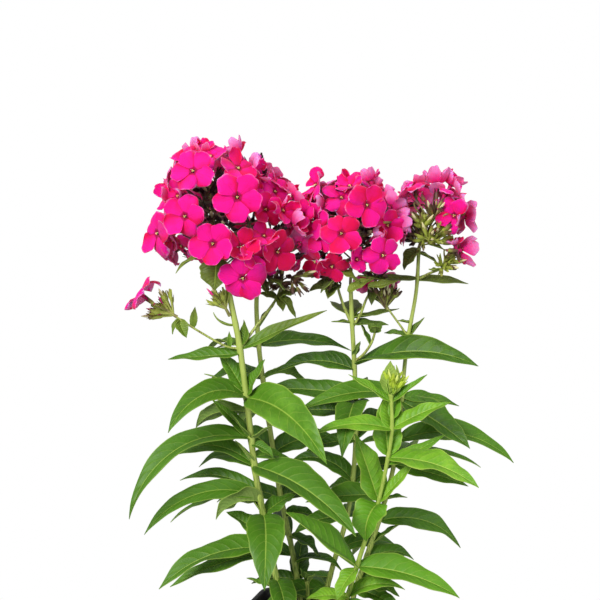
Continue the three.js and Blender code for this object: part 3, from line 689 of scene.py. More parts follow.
leafy_stem(
    "stem_left",
    tone=0.5,
    finishes=GROWN,
    radii=[2.6, 2.1],
    path=[
        [-20, -8, 46], [-32, -11, 100], [-40, -12, 135], [-50, -13, 187], [-56.5, -13.5, 225],
        [-60, -14, 258], [-63.5, -14, 290], [-68, -14, 325], [-73.5, -14, 354], [-77, -14, 374],
    ],
    leaves=[
        [316, 187, 54, 14, 0, -7, -25], [321, 128, 50, 13, 20, -55], [319, -8, 72, 11, 30, 21, 40],
        [282, 225, 84, 21, 40, -62, -34, -8], [282, -54, 102, 30, 14, -50, 38, 8],
        [285, 170, 40, 14, 62, 52, -45], [284, 186, 36, 7, 45, 12], [284, -20, 32, 16, 66, 58, 40],
        [272, 150, 62, 18, 4, -50, 42, -20], [250, 200, 125, 22, 25, -77, -18, 16],
        [251, 165, 42, 11, 45, 38, -30], [229, 176, 86, 17, 48, -55, -30],
        [228, 148, 58, 14, 30, -50, -25], [229, -42, 105, 35, 6, -46, 10, 8],
        [204, 190, 100, 16, 28, -54, -44, 15], [206, 160, 68, 13, 38, -28, -24, 10],
        [203, 153, 88, 12, 5, -48, -20, 6], [201, 204, 42, 20, 32, -66, 54, -10],
        [190, 278, 75, 29, 10, -78, 0, -14], [172, 168, 37, 20, 37, 19, -20],
        [190, 40, 34, 14, 30, 0, 20], [163, 192, 94, 25, 15, -44, -14, 12],
        [161, 180, 84, 18, -8, -34, -28], [137, 283, 60, 20, 12, -85], [131, 165, 26, 10, 12, 8],
        [250, 205, 27, 10, 58, 48, -20], [250, -25, 22, 9, 40, 30], [246, -32, 22, 9, 5, -50, 20],
        [224, -10, 26, 10, 20, -30, 20], [236, 24, 40, 14, 10, -50, 20], [231, 200, 24, 8, 60, 45],
        [191, 172, 24, 7, 60, 40], [322, 20, 20, 9, 50, 110, 30], [338, 182, 20, 3, -12, 70],
    ],
    twigs=[
        [[[-67, -14, 319], [-60, -12, 329], [-50, -8, 342], [-41, -5, 354], [-37, -3, 363]],
         [1.2, 0.9], [0.85, -15, 18, 12, 20, 10, 20], [0.8, 170, 14, 9, 25, 0, -20],
         [0.85, -70, 16, 9, -20, -60], [0.9, -40, 24, 9, -30, -60]],
        [[[-67, -14, 319], [-78, -17, 322], [-94, -21, 332], [-110, -24, 343], [-114, -24, 346]],
         [0.9, 0.75], [0.8, 215, 13, 5, -40, -90], [0.79, -50, 16, 10, -60, -45, 15],
         [0.6, 80, 16, 6, 75, 60], [0.18, 100, 12, 4, 80, 70]],
    ],
)

# ---- Back stem ---------------------------------------------------------------------------
# It stands behind the left stem and carries the other half of the same flower head. Little
# of it shows. Its leaves get a low tone, a darker green that is painted shade for the ones behind.

leafy_stem(
    "stem_back",
    tone=0.2,
    finishes=GROWN,
    radii=[2.3, 1.7],
    path=[
        [-13, 11, 46], [-21, 15, 102], [-29.5, 18, 153], [-38.5, 21, 197], [-45, 23, 240],
        [-50.5, 24, 280], [-54.3, 24, 312], [-56, 23, 345], [-54, 21, 370],
    ],
    leaves=[
        [314, 12, 76, 17, 15, -27, 28], [313, 190, 34, 10, 20, -20], [328, 20, 26, 7, 55, 50],
        [288, 18, 46, 18, 40, -85, -24], [287, 150, 60, 15, 25, -50, -25],
        [255, 72, 78, 18, 38, -40, -12, 14], [254, 118, 76, 17, 18, -66, 18, -10],
        [228, 14, 60, 22, 40, -34, 34], [227, 128, 70, 17, 42, -60, -20, 12],
        [194, 2, 38, 18, 18, -25, 28], [192, 76, 82, 18, 22, -48, 14, 12],
        [191, 160, 60, 16, 25, -45, -30], [161, -22, 30, 16, 5, -60], [178, 5, 28, 14, 25, -45, 20],
        [160, 112, 84, 17, 34, -70, -16, -12], [139, -16, 46, 14, 44, -56],
        [145, 150, 70, 15, 15, -40, -25], [124, 84, 48, 16, 46, 10, 18, 0],
        [125, 175, 38, 14, 16, -30, -25],
    ],
)

# ---- Middle stem -------------------------------------------------------------------------
# It carries the middle head on three short branches. Its leaves are like the left stem's, and
# the topmost are small bracts at the foot of the branches.

leafy_stem(
    "stem_middle",
    tone=0.3,
    finishes=GROWN,
    radii=[2.3, 1.6],
    path=[
        [-6, 15, 46], [-4, 15, 100], [2.5, 15, 133], [13, 15, 172], [18.5, 15, 205], [21, 15, 248],
        [20, 15, 288], [17.2, 15, 335], [16, 15, 362],
    ],
    leaves=[
        [338, 12, 38, 8, 5, 10, 10], [339, 104, 44, 24, 24, -24], [333, -4, 28, 10, 4, -8, 20],
        [297, 178, 62, 19, 30, -34, -30], [301, -22, 100, 28, 32, -27, 18, 12, 60],
        [271, 265, 80, 24, 30, -75, 0, -15], [276, 172, 76, 20, 12, -10, -38],
        [277, 84, 80, 19, 22, -66, -14, 12], [262, 168, 56, 18, 12, -20, -25],
        [241, 190, 40, 14, 5, -25, -25], [241, 54, 72, 16, 44, -44, 12],
        [207, 173, 58, 17, 62, -32, -32], [206, 30, 54, 16, 42, -30, 30],
        [205, 150, 24, 12, 5, -45, -30], [178, 66, 70, 20, 10, -60, 16, 8],
        [178, 196, 46, 16, 15, -40, -28], [150, 35, 74, 17, 20, -48, 24],
        [128, 165, 34, 10, 10, -20], [119, 104, 60, 16, 14, -44, -12],
        [118, 206, 58, 19, 20, -30, -22], [334, 176, 16, 6, 8, -8], [307, -60, 16, 6, 60, 55],
    ],
    twigs=[
        [[[19.5, 15, 303], [26, 12, 309], [31.7, 10, 318], [34.5, 8, 327]], [1.2, 0.9],
         [1, 20, 9, 8, 60, 40, 30], [1, 160, 9, 8, 60, 40, -30], [1, 270, 9, 8, 60, 30],
         [0.66, 150, 18, 6, 60, 60]],
        [[[18, 15, 330], [24, 14, 341], [28, 13, 352], [34, 14, 362]], [1.1, 0.9],
         [0.75, 20, 22, 9, -10, -70], [0.98, -105, 16, 8, -30, -85]],
        [[[17.5, 15, 331], [11, 13, 346], [7, 12, 358], [5, 11, 368]], [1.2, 0.9],
         [0.85, 195, 23, 13, 8, -30, -30], [0.85, 240, 18, 12, -10, -50]],
    ],
)

# ---- Right stem --------------------------------------------------------------------------
# It leans right and ends in the smallest head, with one side branch and a cluster of dark buds
# on a thin twig. Its long leaves arch to the right.

leafy_stem(
    "stem_right",
    tone=0.45,
    finishes=GROWN,
    radii=[2.2, 1.35],
    path=[
        [14, 8, 46], [18, 10, 104], [29, 12, 143], [37.3, 14, 167], [44.2, 15, 192], [50, 15, 216],
        [53.7, 15, 240], [56.3, 15, 274], [58.2, 15, 302], [61, 15, 326], [66, 15, 358],
        [67.5, 15, 391],
    ],
    leaves=[
        [390, 190, 20, 15, -30, -78, -20], [367, 6, 40, 11, 0, -12, 25],
        [368, 201, 48, 10, 0, 10, -20, -10], [324, 176, 19, 8, 15, -8, -15],
        [323, -12, 19, 7, 55, 48, 20], [275, 12, 48, 12, 0, -24, 38],
        [277, 206, 88, 21, 20, -30, -30, -20], [272, -25, 65, 26, -16, -40, 25, -8],
        [240, -2, 98, 20, 28, -48, 36, -6], [240, 197, 34, 13, 20, -20],
        [256, 90, 78, 17, 40, -62, 12, -12], [222, 66, 82, 18, 24, -44, -18, 14],
        [221, -15, 60, 18, -4, -20, 28, -4], [226, -2, 70, 13, 24, -36, 6],
        [196, 204, 70, 20, 14, -8, -30], [191, 104, 78, 17, 38, -72, 16, -8],
        [175, 6, 78, 18, 16, -60, 44, 8], [178, 176, 22, 13, 20, 0, -20], [157, 8, 28, 7, 40, 25],
        [154, 96, 70, 16, -4, -50, -14, 10], [140, 10, 46, 16, 50, -48, 30],
        [128, 40, 62, 16, 25, -40, 22], [127, -20, 36, 17, 10, -40, 20], [334, 172, 10, 5, 10, 0],
        [193, 8, 18, 7, 20, -20], [388, -10, 17, 8, -15, -45], [120, -30, 42, 17, 5, -35, 25],
    ],
    twigs=[
        [[[60.5, 15, 322], [55, 14, 330], [48.5, 13, 339], [43.5, 12, 346]], [0.9, 0.7]],
        [[[66.5, 15, 366], [74, 13, 371], [82, 9, 375], [86, 6, 378]], [1, 0.9],
         [0.8, 190, 10, 6, -10, 10], [0.85, 30, 9, 5, 20, 0]],
    ],
)

# ---- Front shoot -------------------------------------------------------------------------
# A younger shoot that hasn't flowered: its leaves are lighter and yellower, and its tip is a
# tight cluster of light green buds wrapped in small upright leaves.

young_green = leaf_finish(
    "young_green",
    deep=(48, 92, 18),
    middling=(94, 150, 30),
    bright=(140, 190, 48),
    below=(156, 178, 84),
    rib=(188, 208, 96),
)
young_stem = stalk_finish(
    "young_stem", low=(128, 158, 54), high=(168, 190, 84), flush=(122, 134, 52)
)
YOUNG = (young_stem, young_green, "young_green")

leafy_stem(
    "shoot_front",
    tone=0.6,
    finishes=YOUNG,
    radii=[2.1, 1.15],
    path=[
        [2, -12, 46], [6, -19, 102], [11, -22, 118], [20.8, -24, 153], [28, -26, 178],
        [36, -28, 204], [43, -29, 240], [45.5, -30, 263], [44.6, -30, 286], [44.5, -30, 291],
    ],
    leaves=[
        [288, 248, 27, 16, 62, 108], [288, -20, 24, 11, 52, 112, 20], [288, 155, 20, 10, 66, 106],
        [288, 88, 22, 12, 58, 112], [289, 25, 21, 10, 66, 104], [270, 45, 24, 10, 66, 84, 20],
        [283, 190, 39, 9, 38, 30, -30], [283, -14, 34, 8, 42, 38, 30],
        [262, 196, 62, 14, 24, -22, -35], [263, -12, 48, 15, 36, 18, 36], [262, 98, 30, 17, 58, 70],
        [241, 100, 46, 22, 70, 78], [240, -25, 76, 27, 12, -28, 14, -15],
        [235, 16, 50, 10, 18, 26, 40], [205, -5, 42, 12, 52, 48, 30],
        [204, 240, 38, 25, 12, -118, -8, -6], [206, 168, 54, 24, 74, 66, -40],
        [153, 210, 78, 32, 46, 36, -25, -12], [153, -7, 83, 24, 4, -37, 30, 4],
        [151, 225, 30, 15, -15, -70], [128, 2, 48, 14, 46, -34, 24],
        [128, 200, 34, 14, 20, -10, -20], [125, 290, 46, 17, 20, -70],
    ],
)

# ---- Low shoot ---------------------------------------------------------------------------
# A short side shoot that comes up from the root between the others. It stands in their shade
# and has small narrow leaves only.

leafy_stem(
    "shoot_low",
    tone=0.4,
    finishes=GROWN,
    radii=[1.9, 1.3],
    path=[[-12, -4, 46], [-14, -4, 100], [-16, -5, 118], [-17, -5, 134]],
    leaves=[
        [132, 150, 12, 7, 66, 50], [132, -30, 11, 7, 60, 40], [133, 250, 12, 6, 66, 50],
        [120, 8, 30, 7, 50, -50], [119, 215, 24, 8, 40, -10], [112, 265, 38, 14, 20, -50],
        [112, 85, 26, 12, 30, -20],
    ],
)

# ---- Left head ---------------------------------------------------------------------------
# The largest flower head, a loose cluster fed by three stalks. Each flower is a slim tube that
# opens into five broad, soft, overlapping petals, and stands in a small ribbed calyx with
# five pointed teeth. Dark empty calyces and young buds fill the gaps between the flowers.

PETAL_THICKNESS = 0.3
TUBE_LENGTH = 15
CALYX_LENGTH = 9.5
CALYX_RADIUS = 1.6
FLOWER_TUBE_RADIUS = 1.05
PEDICEL_RADIUS = 0.62
STALK_FOOT = 1.3
STALK_LAP = 2.5
LONGEST_GAP = 3
HUB_DROP = 14
PETALS = 5
ANTHERS = 3
GOLDEN_ANGLE = 137.5
CURLED, TUBE, MOUTH_IN_PAINTED_SHADE, POLLEN = 0.1, 0.33, 0.66, 1.0

petal, petal_across, petal_out, petal_layer = flat_sheet("petal", 10, 7)
thin_rod, thin_grid = upright_rod("thin_rod", 8, 9)
cup, cup_grid = upright_rod("cup", 10, 3)
edit_mode()
pick(cup, "FACE", flat_at(1))
bpy.ops.mesh.poke()
edit_mode(False)
cup_grid = points_of(cup)
cup_angle = np.arctan2(cup_grid[:, 1], cup_grid[:, 0])
cup_level = cup_grid[:, 2].copy()
cup_rim = (cup_level > 0.9) & (np.hypot(*cup_grid[:, :2].T) > 0.5)
cup_tooth = cup_rim & (np.round(cup_angle / math.radians(180 / PETALS)).astype(int) % 2 == 0)
cup_middle = (cup_level > 0.9) & ~cup_rim
cup_reach = np.interp(cup_level, [0, 0.25, 0.5, 0.75, 1], [0.5, 0.85, 1, 1, 1.04])
cup_ridges = 1 + 0.14 * np.cos(PETALS * cup_angle)
cup_grid[:, :2] *= (cup_reach * cup_ridges)[:, None]
cup_grid[cup_tooth, :2] *= 1.2
cup_grid[:, 2] = 0.7 * cup_level
cup_grid[cup_tooth, 2] = 1.0
cup_grid[cup_rim & ~cup_tooth, 2] = 0.56
cup_grid[cup_middle, 2] = 0.3

bpy.ops.mesh.primitive_uv_sphere_add(segments=8, ring_count=8, radius=1)
spindle = bpy.context.object
spindle.name = "spindle"
spindle_grid = points_of(spindle)
bud_grid = spindle_grid.copy()
bud_grid[:, :2] *= (1 - 0.45 * np.maximum(bud_grid[:, 2:], 0) ** 1.2) * 0.72


def frame_about(direction):
    """Two directions at right angles to one direction and to each other."""
    reference = [0, 0, 1] if abs(direction[2]) < 0.8 else [1, 0, 0]
    first = unit(np.cross(reference, direction))
    return first, np.cross(direction, first)


def toward(first, second, angle):
    """The direction at an angle from `first`, on the way to `second`."""
    return first * math.cos(angle) + second * math.sin(angle)


def stand(master, grid, root, direction, length, radius, turn=0.0, **numbers):
    """A copy of a master whose own +Z runs from 0 to 1, stood at `root` along `direction`."""
    first, second = frame_about(direction)
    ahead = toward(first, second, turn)
    aside = np.cross(direction, ahead)
    points = root + grid[:, :1] * radius * ahead + grid[:, 1:2] * radius * aside
    points = points + grid[:, 2:3] * length * direction
    return copy_of(master, (points + PLANT_AT) * MM, **numbers)


def petal_at(centre, facing, first, second, radius, angle, index, lobe, tone, closing):
    """One petal of a flower: broad and round-ended, one edge under its neighbour's and often
    one edge rolled up. `closing` is how far it stands up from the flower's plane, in degrees."""
    luck = np.random.default_rng([index, lobe, int(radius * 10)])
    angle += luck.normal(0, 0.06)
    outward = toward(first, second, angle)
    sideways = np.cross(facing, outward)
    u, v = petal_across, petal_out
    start = 0.085 * radius
    length = radius * luck.uniform(0.96, 1.1) - start
    blunt = luck.uniform(0.06, 0.2)
    notch = luck.uniform(0, 0.06) * np.exp(-((u / 0.22) ** 2))
    rho = length * v * (1 - blunt * u**2 - 0.2 * u**4 * v - notch * v)
    wide = radius * (0.05 + 1.1 * v**1.1 * (1 - 0.57 * v**1.8)) * (1 - 0.12 * v**3 * u**2)
    wide = wide * luck.uniform(0.86, 1.06) * (1 + luck.uniform(-0.12, 0.12) * u)
    cup_up = luck.uniform(-0.16, 0.2) * radius * v**2
    edges = luck.uniform(-0.2, 0.12) * radius * u**2 * v
    dip = -0.11 * radius * (1 - v) ** 3
    tip = luck.uniform(-0.35, 0.2) * radius * np.maximum(v - 0.5, 0) ** 2 * 4
    ruffle = 0.04 * radius * np.sin(luck.uniform(3, 6) * u + luck.uniform(0, 6)) * v**3
    groove = -0.03 * radius * np.exp(-((u / 0.16) ** 2)) * v
    lift = cup_up + edges + dip + tip + ruffle + groove + 0.1 * radius * u * v
    side = luck.choice([-1, 1])
    flat = luck.uniform(0.3, 0.8)
    tight = radius * luck.uniform(0.1, 0.2)
    up_or_down = luck.choice([1, 1, -1, 0] if abs(closing) > 7 else [1, -1, 0, 0, 0])
    past = np.maximum(u * side - flat, 0) * wide
    share = np.clip((v - 0.25) / 0.35, 0, 1) * abs(up_or_down)
    turn = np.minimum(past / tight, 2.5)
    across = u * wide + side * share * (tight * np.sin(turn) - past)
    lift += up_or_down * share * tight * (1 - np.cos(turn)) + petal_layer * PETAL_THICKNESS
    stand_up = np.radians(closing + luck.normal(0, 8)) * v**0.7
    rho, lift = (
        start + rho * np.cos(stand_up) - lift * np.sin(stand_up),
        lift * np.cos(stand_up) + rho * np.sin(stand_up),
    )
    across = across * (1 - 0.35 * math.sin(math.radians(max(closing, 0))))
    points = centre + rho[:, None] * outward + across[:, None] * sideways
    points = points + lift[:, None] * facing
    # Painted shade: each petal darkens across toward the edge that lies under its neighbour's, and
    # most at that seam. Its tone also differs a little at random.
    shade = tone + luck.uniform(-0.2, 0.2) + 0.4 * u - 0.7 * np.exp(-(((u + 1) / 0.35) ** 2))
    return copy_of(petal, (points + PLANT_AT) * MM, tone=shade, kind=0.0)


def hub_of(path, height):
    """Where a flower's own stalk leaves the head's stalk: a little below the flower."""
    path = np.array(path, float)
    height = np.clip(height - HUB_DROP, path[1, 2], path[-1, 2] - 3)
    order = path[1:] if path[-1, 2] > path[1, 2] else path[:0:-1]
    return rows(order, order[:, 2], [height])[0]


def pedicel(root, top, direction, tint=0.35):
    """The thin stalk of one flower or bud, bent so that it ends along `direction`."""
    span = np.linalg.norm(top - root)
    path = [root, (root + top) / 2 - direction * span * 0.12, top - direction * span * 0.12, top]
    curve = curve_through(path, 24)
    made = rod_along(thin_rod, thin_grid, curve, PEDICEL_RADIUS)
    mark(made, tint=tint, pale=0.1)
    return made


def calyx(root, direction, index, tint, length=CALYX_LENGTH, radius=CALYX_RADIUS, pale=0.0):
    shade = np.clip(tint + 0.6 * (cup_grid[:, 2] - 0.45), 0, 1)
    return stand(cup, cup_grid, root, direction, length, radius, 0.9 * index, tint=shade, pale=pale)


def open_flower(root, place, index):
    """A flower's petal-coloured parts and its green parts."""
    x, y, z, azimuth, elevation, radius = place[:6]
    luck = np.random.default_rng([7, index, int(radius * 10)])
    # The tone runs from crimson to magenta: low tones are painted shade for the flowers in shade,
    # high ones the lit flowers' magenta. Without a given tone it differs at random.
    tone = place[8] if len(place) > 8 else luck.uniform(0.3, 0.9)
    closing = place[6] if len(place) > 6 else 0
    centre = np.array([x, y, z], float)
    facing = unit_at(azimuth, elevation)
    first, second = frame_about(facing)
    spin = math.radians(place[7] if len(place) > 7 else 54 + 11 * math.sin(5 * index))
    pink = []
    for lobe in range(PETALS):
        angle = spin + math.radians((lobe + 0.5) * 360 / PETALS)
        pink.append(
            petal_at(centre, facing, first, second, radius, angle, index, lobe, tone, closing)
        )
    back = centre - facing * TUBE_LENGTH
    throat = centre - facing * 0.13 * radius
    curve = curve_through([back, (back + throat) / 2, throat], 24)
    flare = FLOWER_TUBE_RADIUS * (1 + 0.75 * np.linspace(0, 1, 24) ** 8)
    tube = rod_along(thin_rod, thin_grid, curve, flare)
    mark(tube, kind=np.where(thin_grid[:, 2] > 0.97, MOUTH_IN_PAINTED_SHADE, TUBE), tone=tone, under=0.0)
    pink.append(tube)
    for anther in range(ANTHERS):
        side = toward(first, second, spin + anther * 2.1)
        at = throat + side * 0.55 + facing * (0.5 + 0.3 * anther)
        made = stand(spindle, spindle_grid, at, facing, 0.75, 0.42)
        mark(made, kind=POLLEN, tone=0.5, under=0.0)
        pink.append(made)
    green = [pedicel(root, back, facing), calyx(back, facing, index, luck.uniform(0.3, 0.75))]
    return pink, green


def closed_bud(root, place, index, tint, petal_tone=None):
    """A bud: a furled, pointed spindle of petals held in its calyx."""
    x, y, z, radius = place[:4]
    tip = np.array([x, y, z], float)
    direction = unit(tip - root)
    length = min(13.0, 0.9 * np.linalg.norm(tip - root))
    back = tip - direction * length
    green = [
        pedicel(root, back, direction, tint * 0.6),
        calyx(back, direction, index, tint, 0.72 * length, 0.8 * radius),
    ]
    middle = tip - direction * 0.42 * length
    made = stand(spindle, bud_grid, middle, direction, 0.42 * length, radius)
    if petal_tone is None:
        mark(made, tint=np.clip(tint + 0.25 * spindle_grid[:, 2], 0, 1), pale=0.55)
        return [], green + [made]
    mark(made, tone=petal_tone, kind=CURLED, under=0.45)
    return [made], green


def branch_point(stalks, place):
    """The nearest point of a head's stalks that lies a little lower than `place`."""
    ways = np.vstack([curve_through(path, 24) for path in stalks])
    lower = ways[ways[:, 2] < place[2] - 3]
    ways = lower if len(lower) else ways[:1]
    return ways[np.argmin(np.linalg.norm(ways - place, axis=1))]


def bud_cluster(cluster, seed):
    """Calyces that stand out from one point in a cone, `bud_share` of them with a pale bud."""
    count, x, y, z, azimuth, elevation, reach, spread, tint, bud_share = cluster
    luck = np.random.default_rng([seed, count, int(reach)])
    root = np.array([x, y, z], float)
    axis = unit_at(azimuth, elevation)
    first, second = frame_about(axis)
    parts = []
    for item in range(count):
        off = math.radians(spread) * math.sqrt((item + 0.5) / count)
        side = toward(first, second, math.radians(GOLDEN_ANGLE) * item)
        aim = unit(axis * math.cos(off) + side * math.sin(off) + luck.normal(0, 0.08, 3))
        length = luck.uniform(7, 9.5)
        foot = root + aim * max(reach * luck.uniform(0.8, 1.1) - length, 1)
        shade = tint + luck.uniform(-0.2, 0.25)
        parts.append(pedicel(root, foot, aim, shade))
        parts.append(calyx(foot, aim, item, shade, length, luck.uniform(1.3, 1.8)))
        if luck.random() < bud_share:
            middle = foot + aim * length * 0.9
            bud = stand(spindle, bud_grid, middle, aim, length * 0.5, luck.uniform(1.2, 1.7))
            mark(bud, tint=luck.choice([0.1, 0.45]), pale=luck.uniform(0.7, 1.0))
            parts.append(bud)
    return parts


def flower_head(
    name, finishes, stalks, florets=(), buds=(), clusters=(), bracts=(), spares=2, bud_tint=0.5,
    bud_tone=None, node=None,
):
    """A whole head: its petals as one piece, its stalks, buds and calyces as another, and its
    bracts. A floret or bud is [its stalk, x, y, z, ...], and `spares` empty calyces stand by
    each floret. Buds with a tone show furled petals."""
    petal_material, bud_material, leaf_material, slot = finishes
    pink, green, blades = [], [], []
    for path in stalks:
        knots = np.array(path, float)
        knots[0] -= STALK_LAP * unit(knots[1] - knots[0])
        curve = curve_through(knots)
        green.append(rod_along(rod, rod_grid, curve, np.linspace(STALK_FOOT, 0.8, len(curve))))
        mark(green[-1], tint=0.3, pale=0.1)
    for seed, cluster in enumerate(clusters):
        place = np.array(cluster[1:4], float)
        link = branch_point(stalks, place)
        if np.linalg.norm(place - link) > LONGEST_GAP:
            green.append(pedicel(link, place, unit_at(*cluster[4:6]), cluster[8]))
        green += bud_cluster(cluster, seed)
    for index, (stalk, *place) in enumerate(florets):
        root = hub_of(stalks[stalk], place[2])
        more_pink, more_green = open_flower(root, place, index)
        pink += more_pink
        green += more_green
        luck = np.random.default_rng([index, 3])
        for spare in range(spares):
            back = np.array(place[:3]) - unit_at(*place[3:5]) * TUBE_LENGTH
            aim = unit(unit(back - root + 1e-3) + luck.normal(0, 0.3, 3))
            reach = min(np.linalg.norm(back - root) * luck.uniform(0.6, 0.85), 30)
            foot = root + aim * reach
            green.append(pedicel(root, foot, aim, 0.7))
            green.append(calyx(foot, aim, spare, luck.uniform(0.7, 1.0)))
    for index, (stalk, *place) in enumerate(buds):
        root = hub_of(stalks[stalk], place[2])
        tint = bud_tint + 0.15 * math.sin(7 * index)
        more_pink, more_green = closed_bud(root, place, index, tint, bud_tone)
        pink += more_pink
        green += more_green
    for index, (x, y, z, *shape, tone) in enumerate(bracts):
        blades.append(leaf([x, y, z], *shape, tone=tone, seed=80 + index))
    for parts, end, material, slot in (
        (pink, "_flowers", petal_material, "petal_pink"),
        (green, "_calyces", bud_material, slot),
        (blades, "_bracts", leaf_material, slot),
    ):
        if parts:
            dress(joined(name + end, parts), material, slot, node or name)


petal_pink, shader = start_material(
    "petal_pink",
    0.7,
    Specular_IOR_Level=0.12,
    Subsurface_Weight=0.6,
    Subsurface_Radius=(1.0, 0.05, 0.06),
    Subsurface_Scale=1.5 * MM,
    Sheen_Weight=0.25,
    Sheen_Roughness=0.45,
    Sheen_Tint=(1.0, 0.55, 0.72, 1),
)
across, out = axes(where("UV"))["X"], axes(where("UV"))["Y"]
centred = maths("ABSOLUTE", scaled(across, 2.0, -1.0))
blush = blotches(5)
on_petal = add("CombineXYZ", {"X": across, "Y": out}).outputs[0]
streaks = noise(drawn_out(on_petal, (1.0, 0.12, 1.0)), 26, Detail=3)
streak_mask = between(streaks, 0.5, 0.7)
# A low tone is crimson, painted shade for shaded flowers and covered petal edges; a high one is
# magenta.
tone = scaled(blush, 0.35, maths("SUBTRACT", reading("tone"), 0.17))
colour = blend(between(tone, 0.0, 1.0), (214, 0, 78), (244, 14, 142))
colour = blend(times(streak_mask, 0.35), colour, (206, 0, 92))
# The underside is paler pink than the face: saturated near the throat, partly painted light shining
# through the petal, and pale at the margin, partly a painted highlight.
behind = blend(between(out, 0.2, 1.0), (216, 34, 130), (240, 146, 208))
behind = blend(times(streak_mask, 0.3), behind, (214, 30, 104))
colour = blend(times(reading("under"), 0.85), colour, behind)
rim = times(between(maths("MAXIMUM", centred, out), 0.92, 1.0), between(out, 0.5, 0.8))
rim = times(rim, between(blush, 0.2, 0.9))
colour = blend(times(rim, 0.6), colour, (252, 150, 196))
colour = blend(times(between(out, 0.17, 0.07), 0.8), colour, (128, 0, 46))
line = times(between(centred, 0.1, 0.0), between(out, 0.5, 0.1))
colour = blend(times(line, 0.45), colour, (170, 0, 66))
# The tube, its mouth, painted dark as painted shade in the opening, and the pollen on the
# anthers, each from a little under its kind.
for kind, shown in ((0.2, (192, 26, 104)), (0.5, (70, 0, 24)), (0.85, (236, 214, 140))):
    colour = blend(between(reading("kind"), kind, kind + 0.1), colour, shown)
finish_surface(shader, colour, streaks, 0.35, 0.3)


def bud_finish(name, fresh, brown, dark, cream):
    """A calyx or bud: green where it is young, brown to dark purple where it is older."""
    material, shader = start_material(name, 0.55)
    blotch = blotches(2.5)
    age = scaled(blotch, 0.3, maths("SUBTRACT", reading("tint"), 0.15))
    colour = blend(between(age, 0.0, 0.55), fresh, brown)
    colour = blend(between(age, 0.5, 1.0), colour, dark)
    colour = blend(reading("pale"), colour, cream)
    finish_surface(shader, colour, blotch, 0.5, 0.3)
    return material


bud_green = bud_finish(
    "bud_green", fresh=(166, 178, 74), brown=(96, 66, 50), dark=(44, 16, 30), cream=(226, 218, 172)
)
IN_FLOWER = (petal_pink, bud_green, leaf_green, "bud_green")

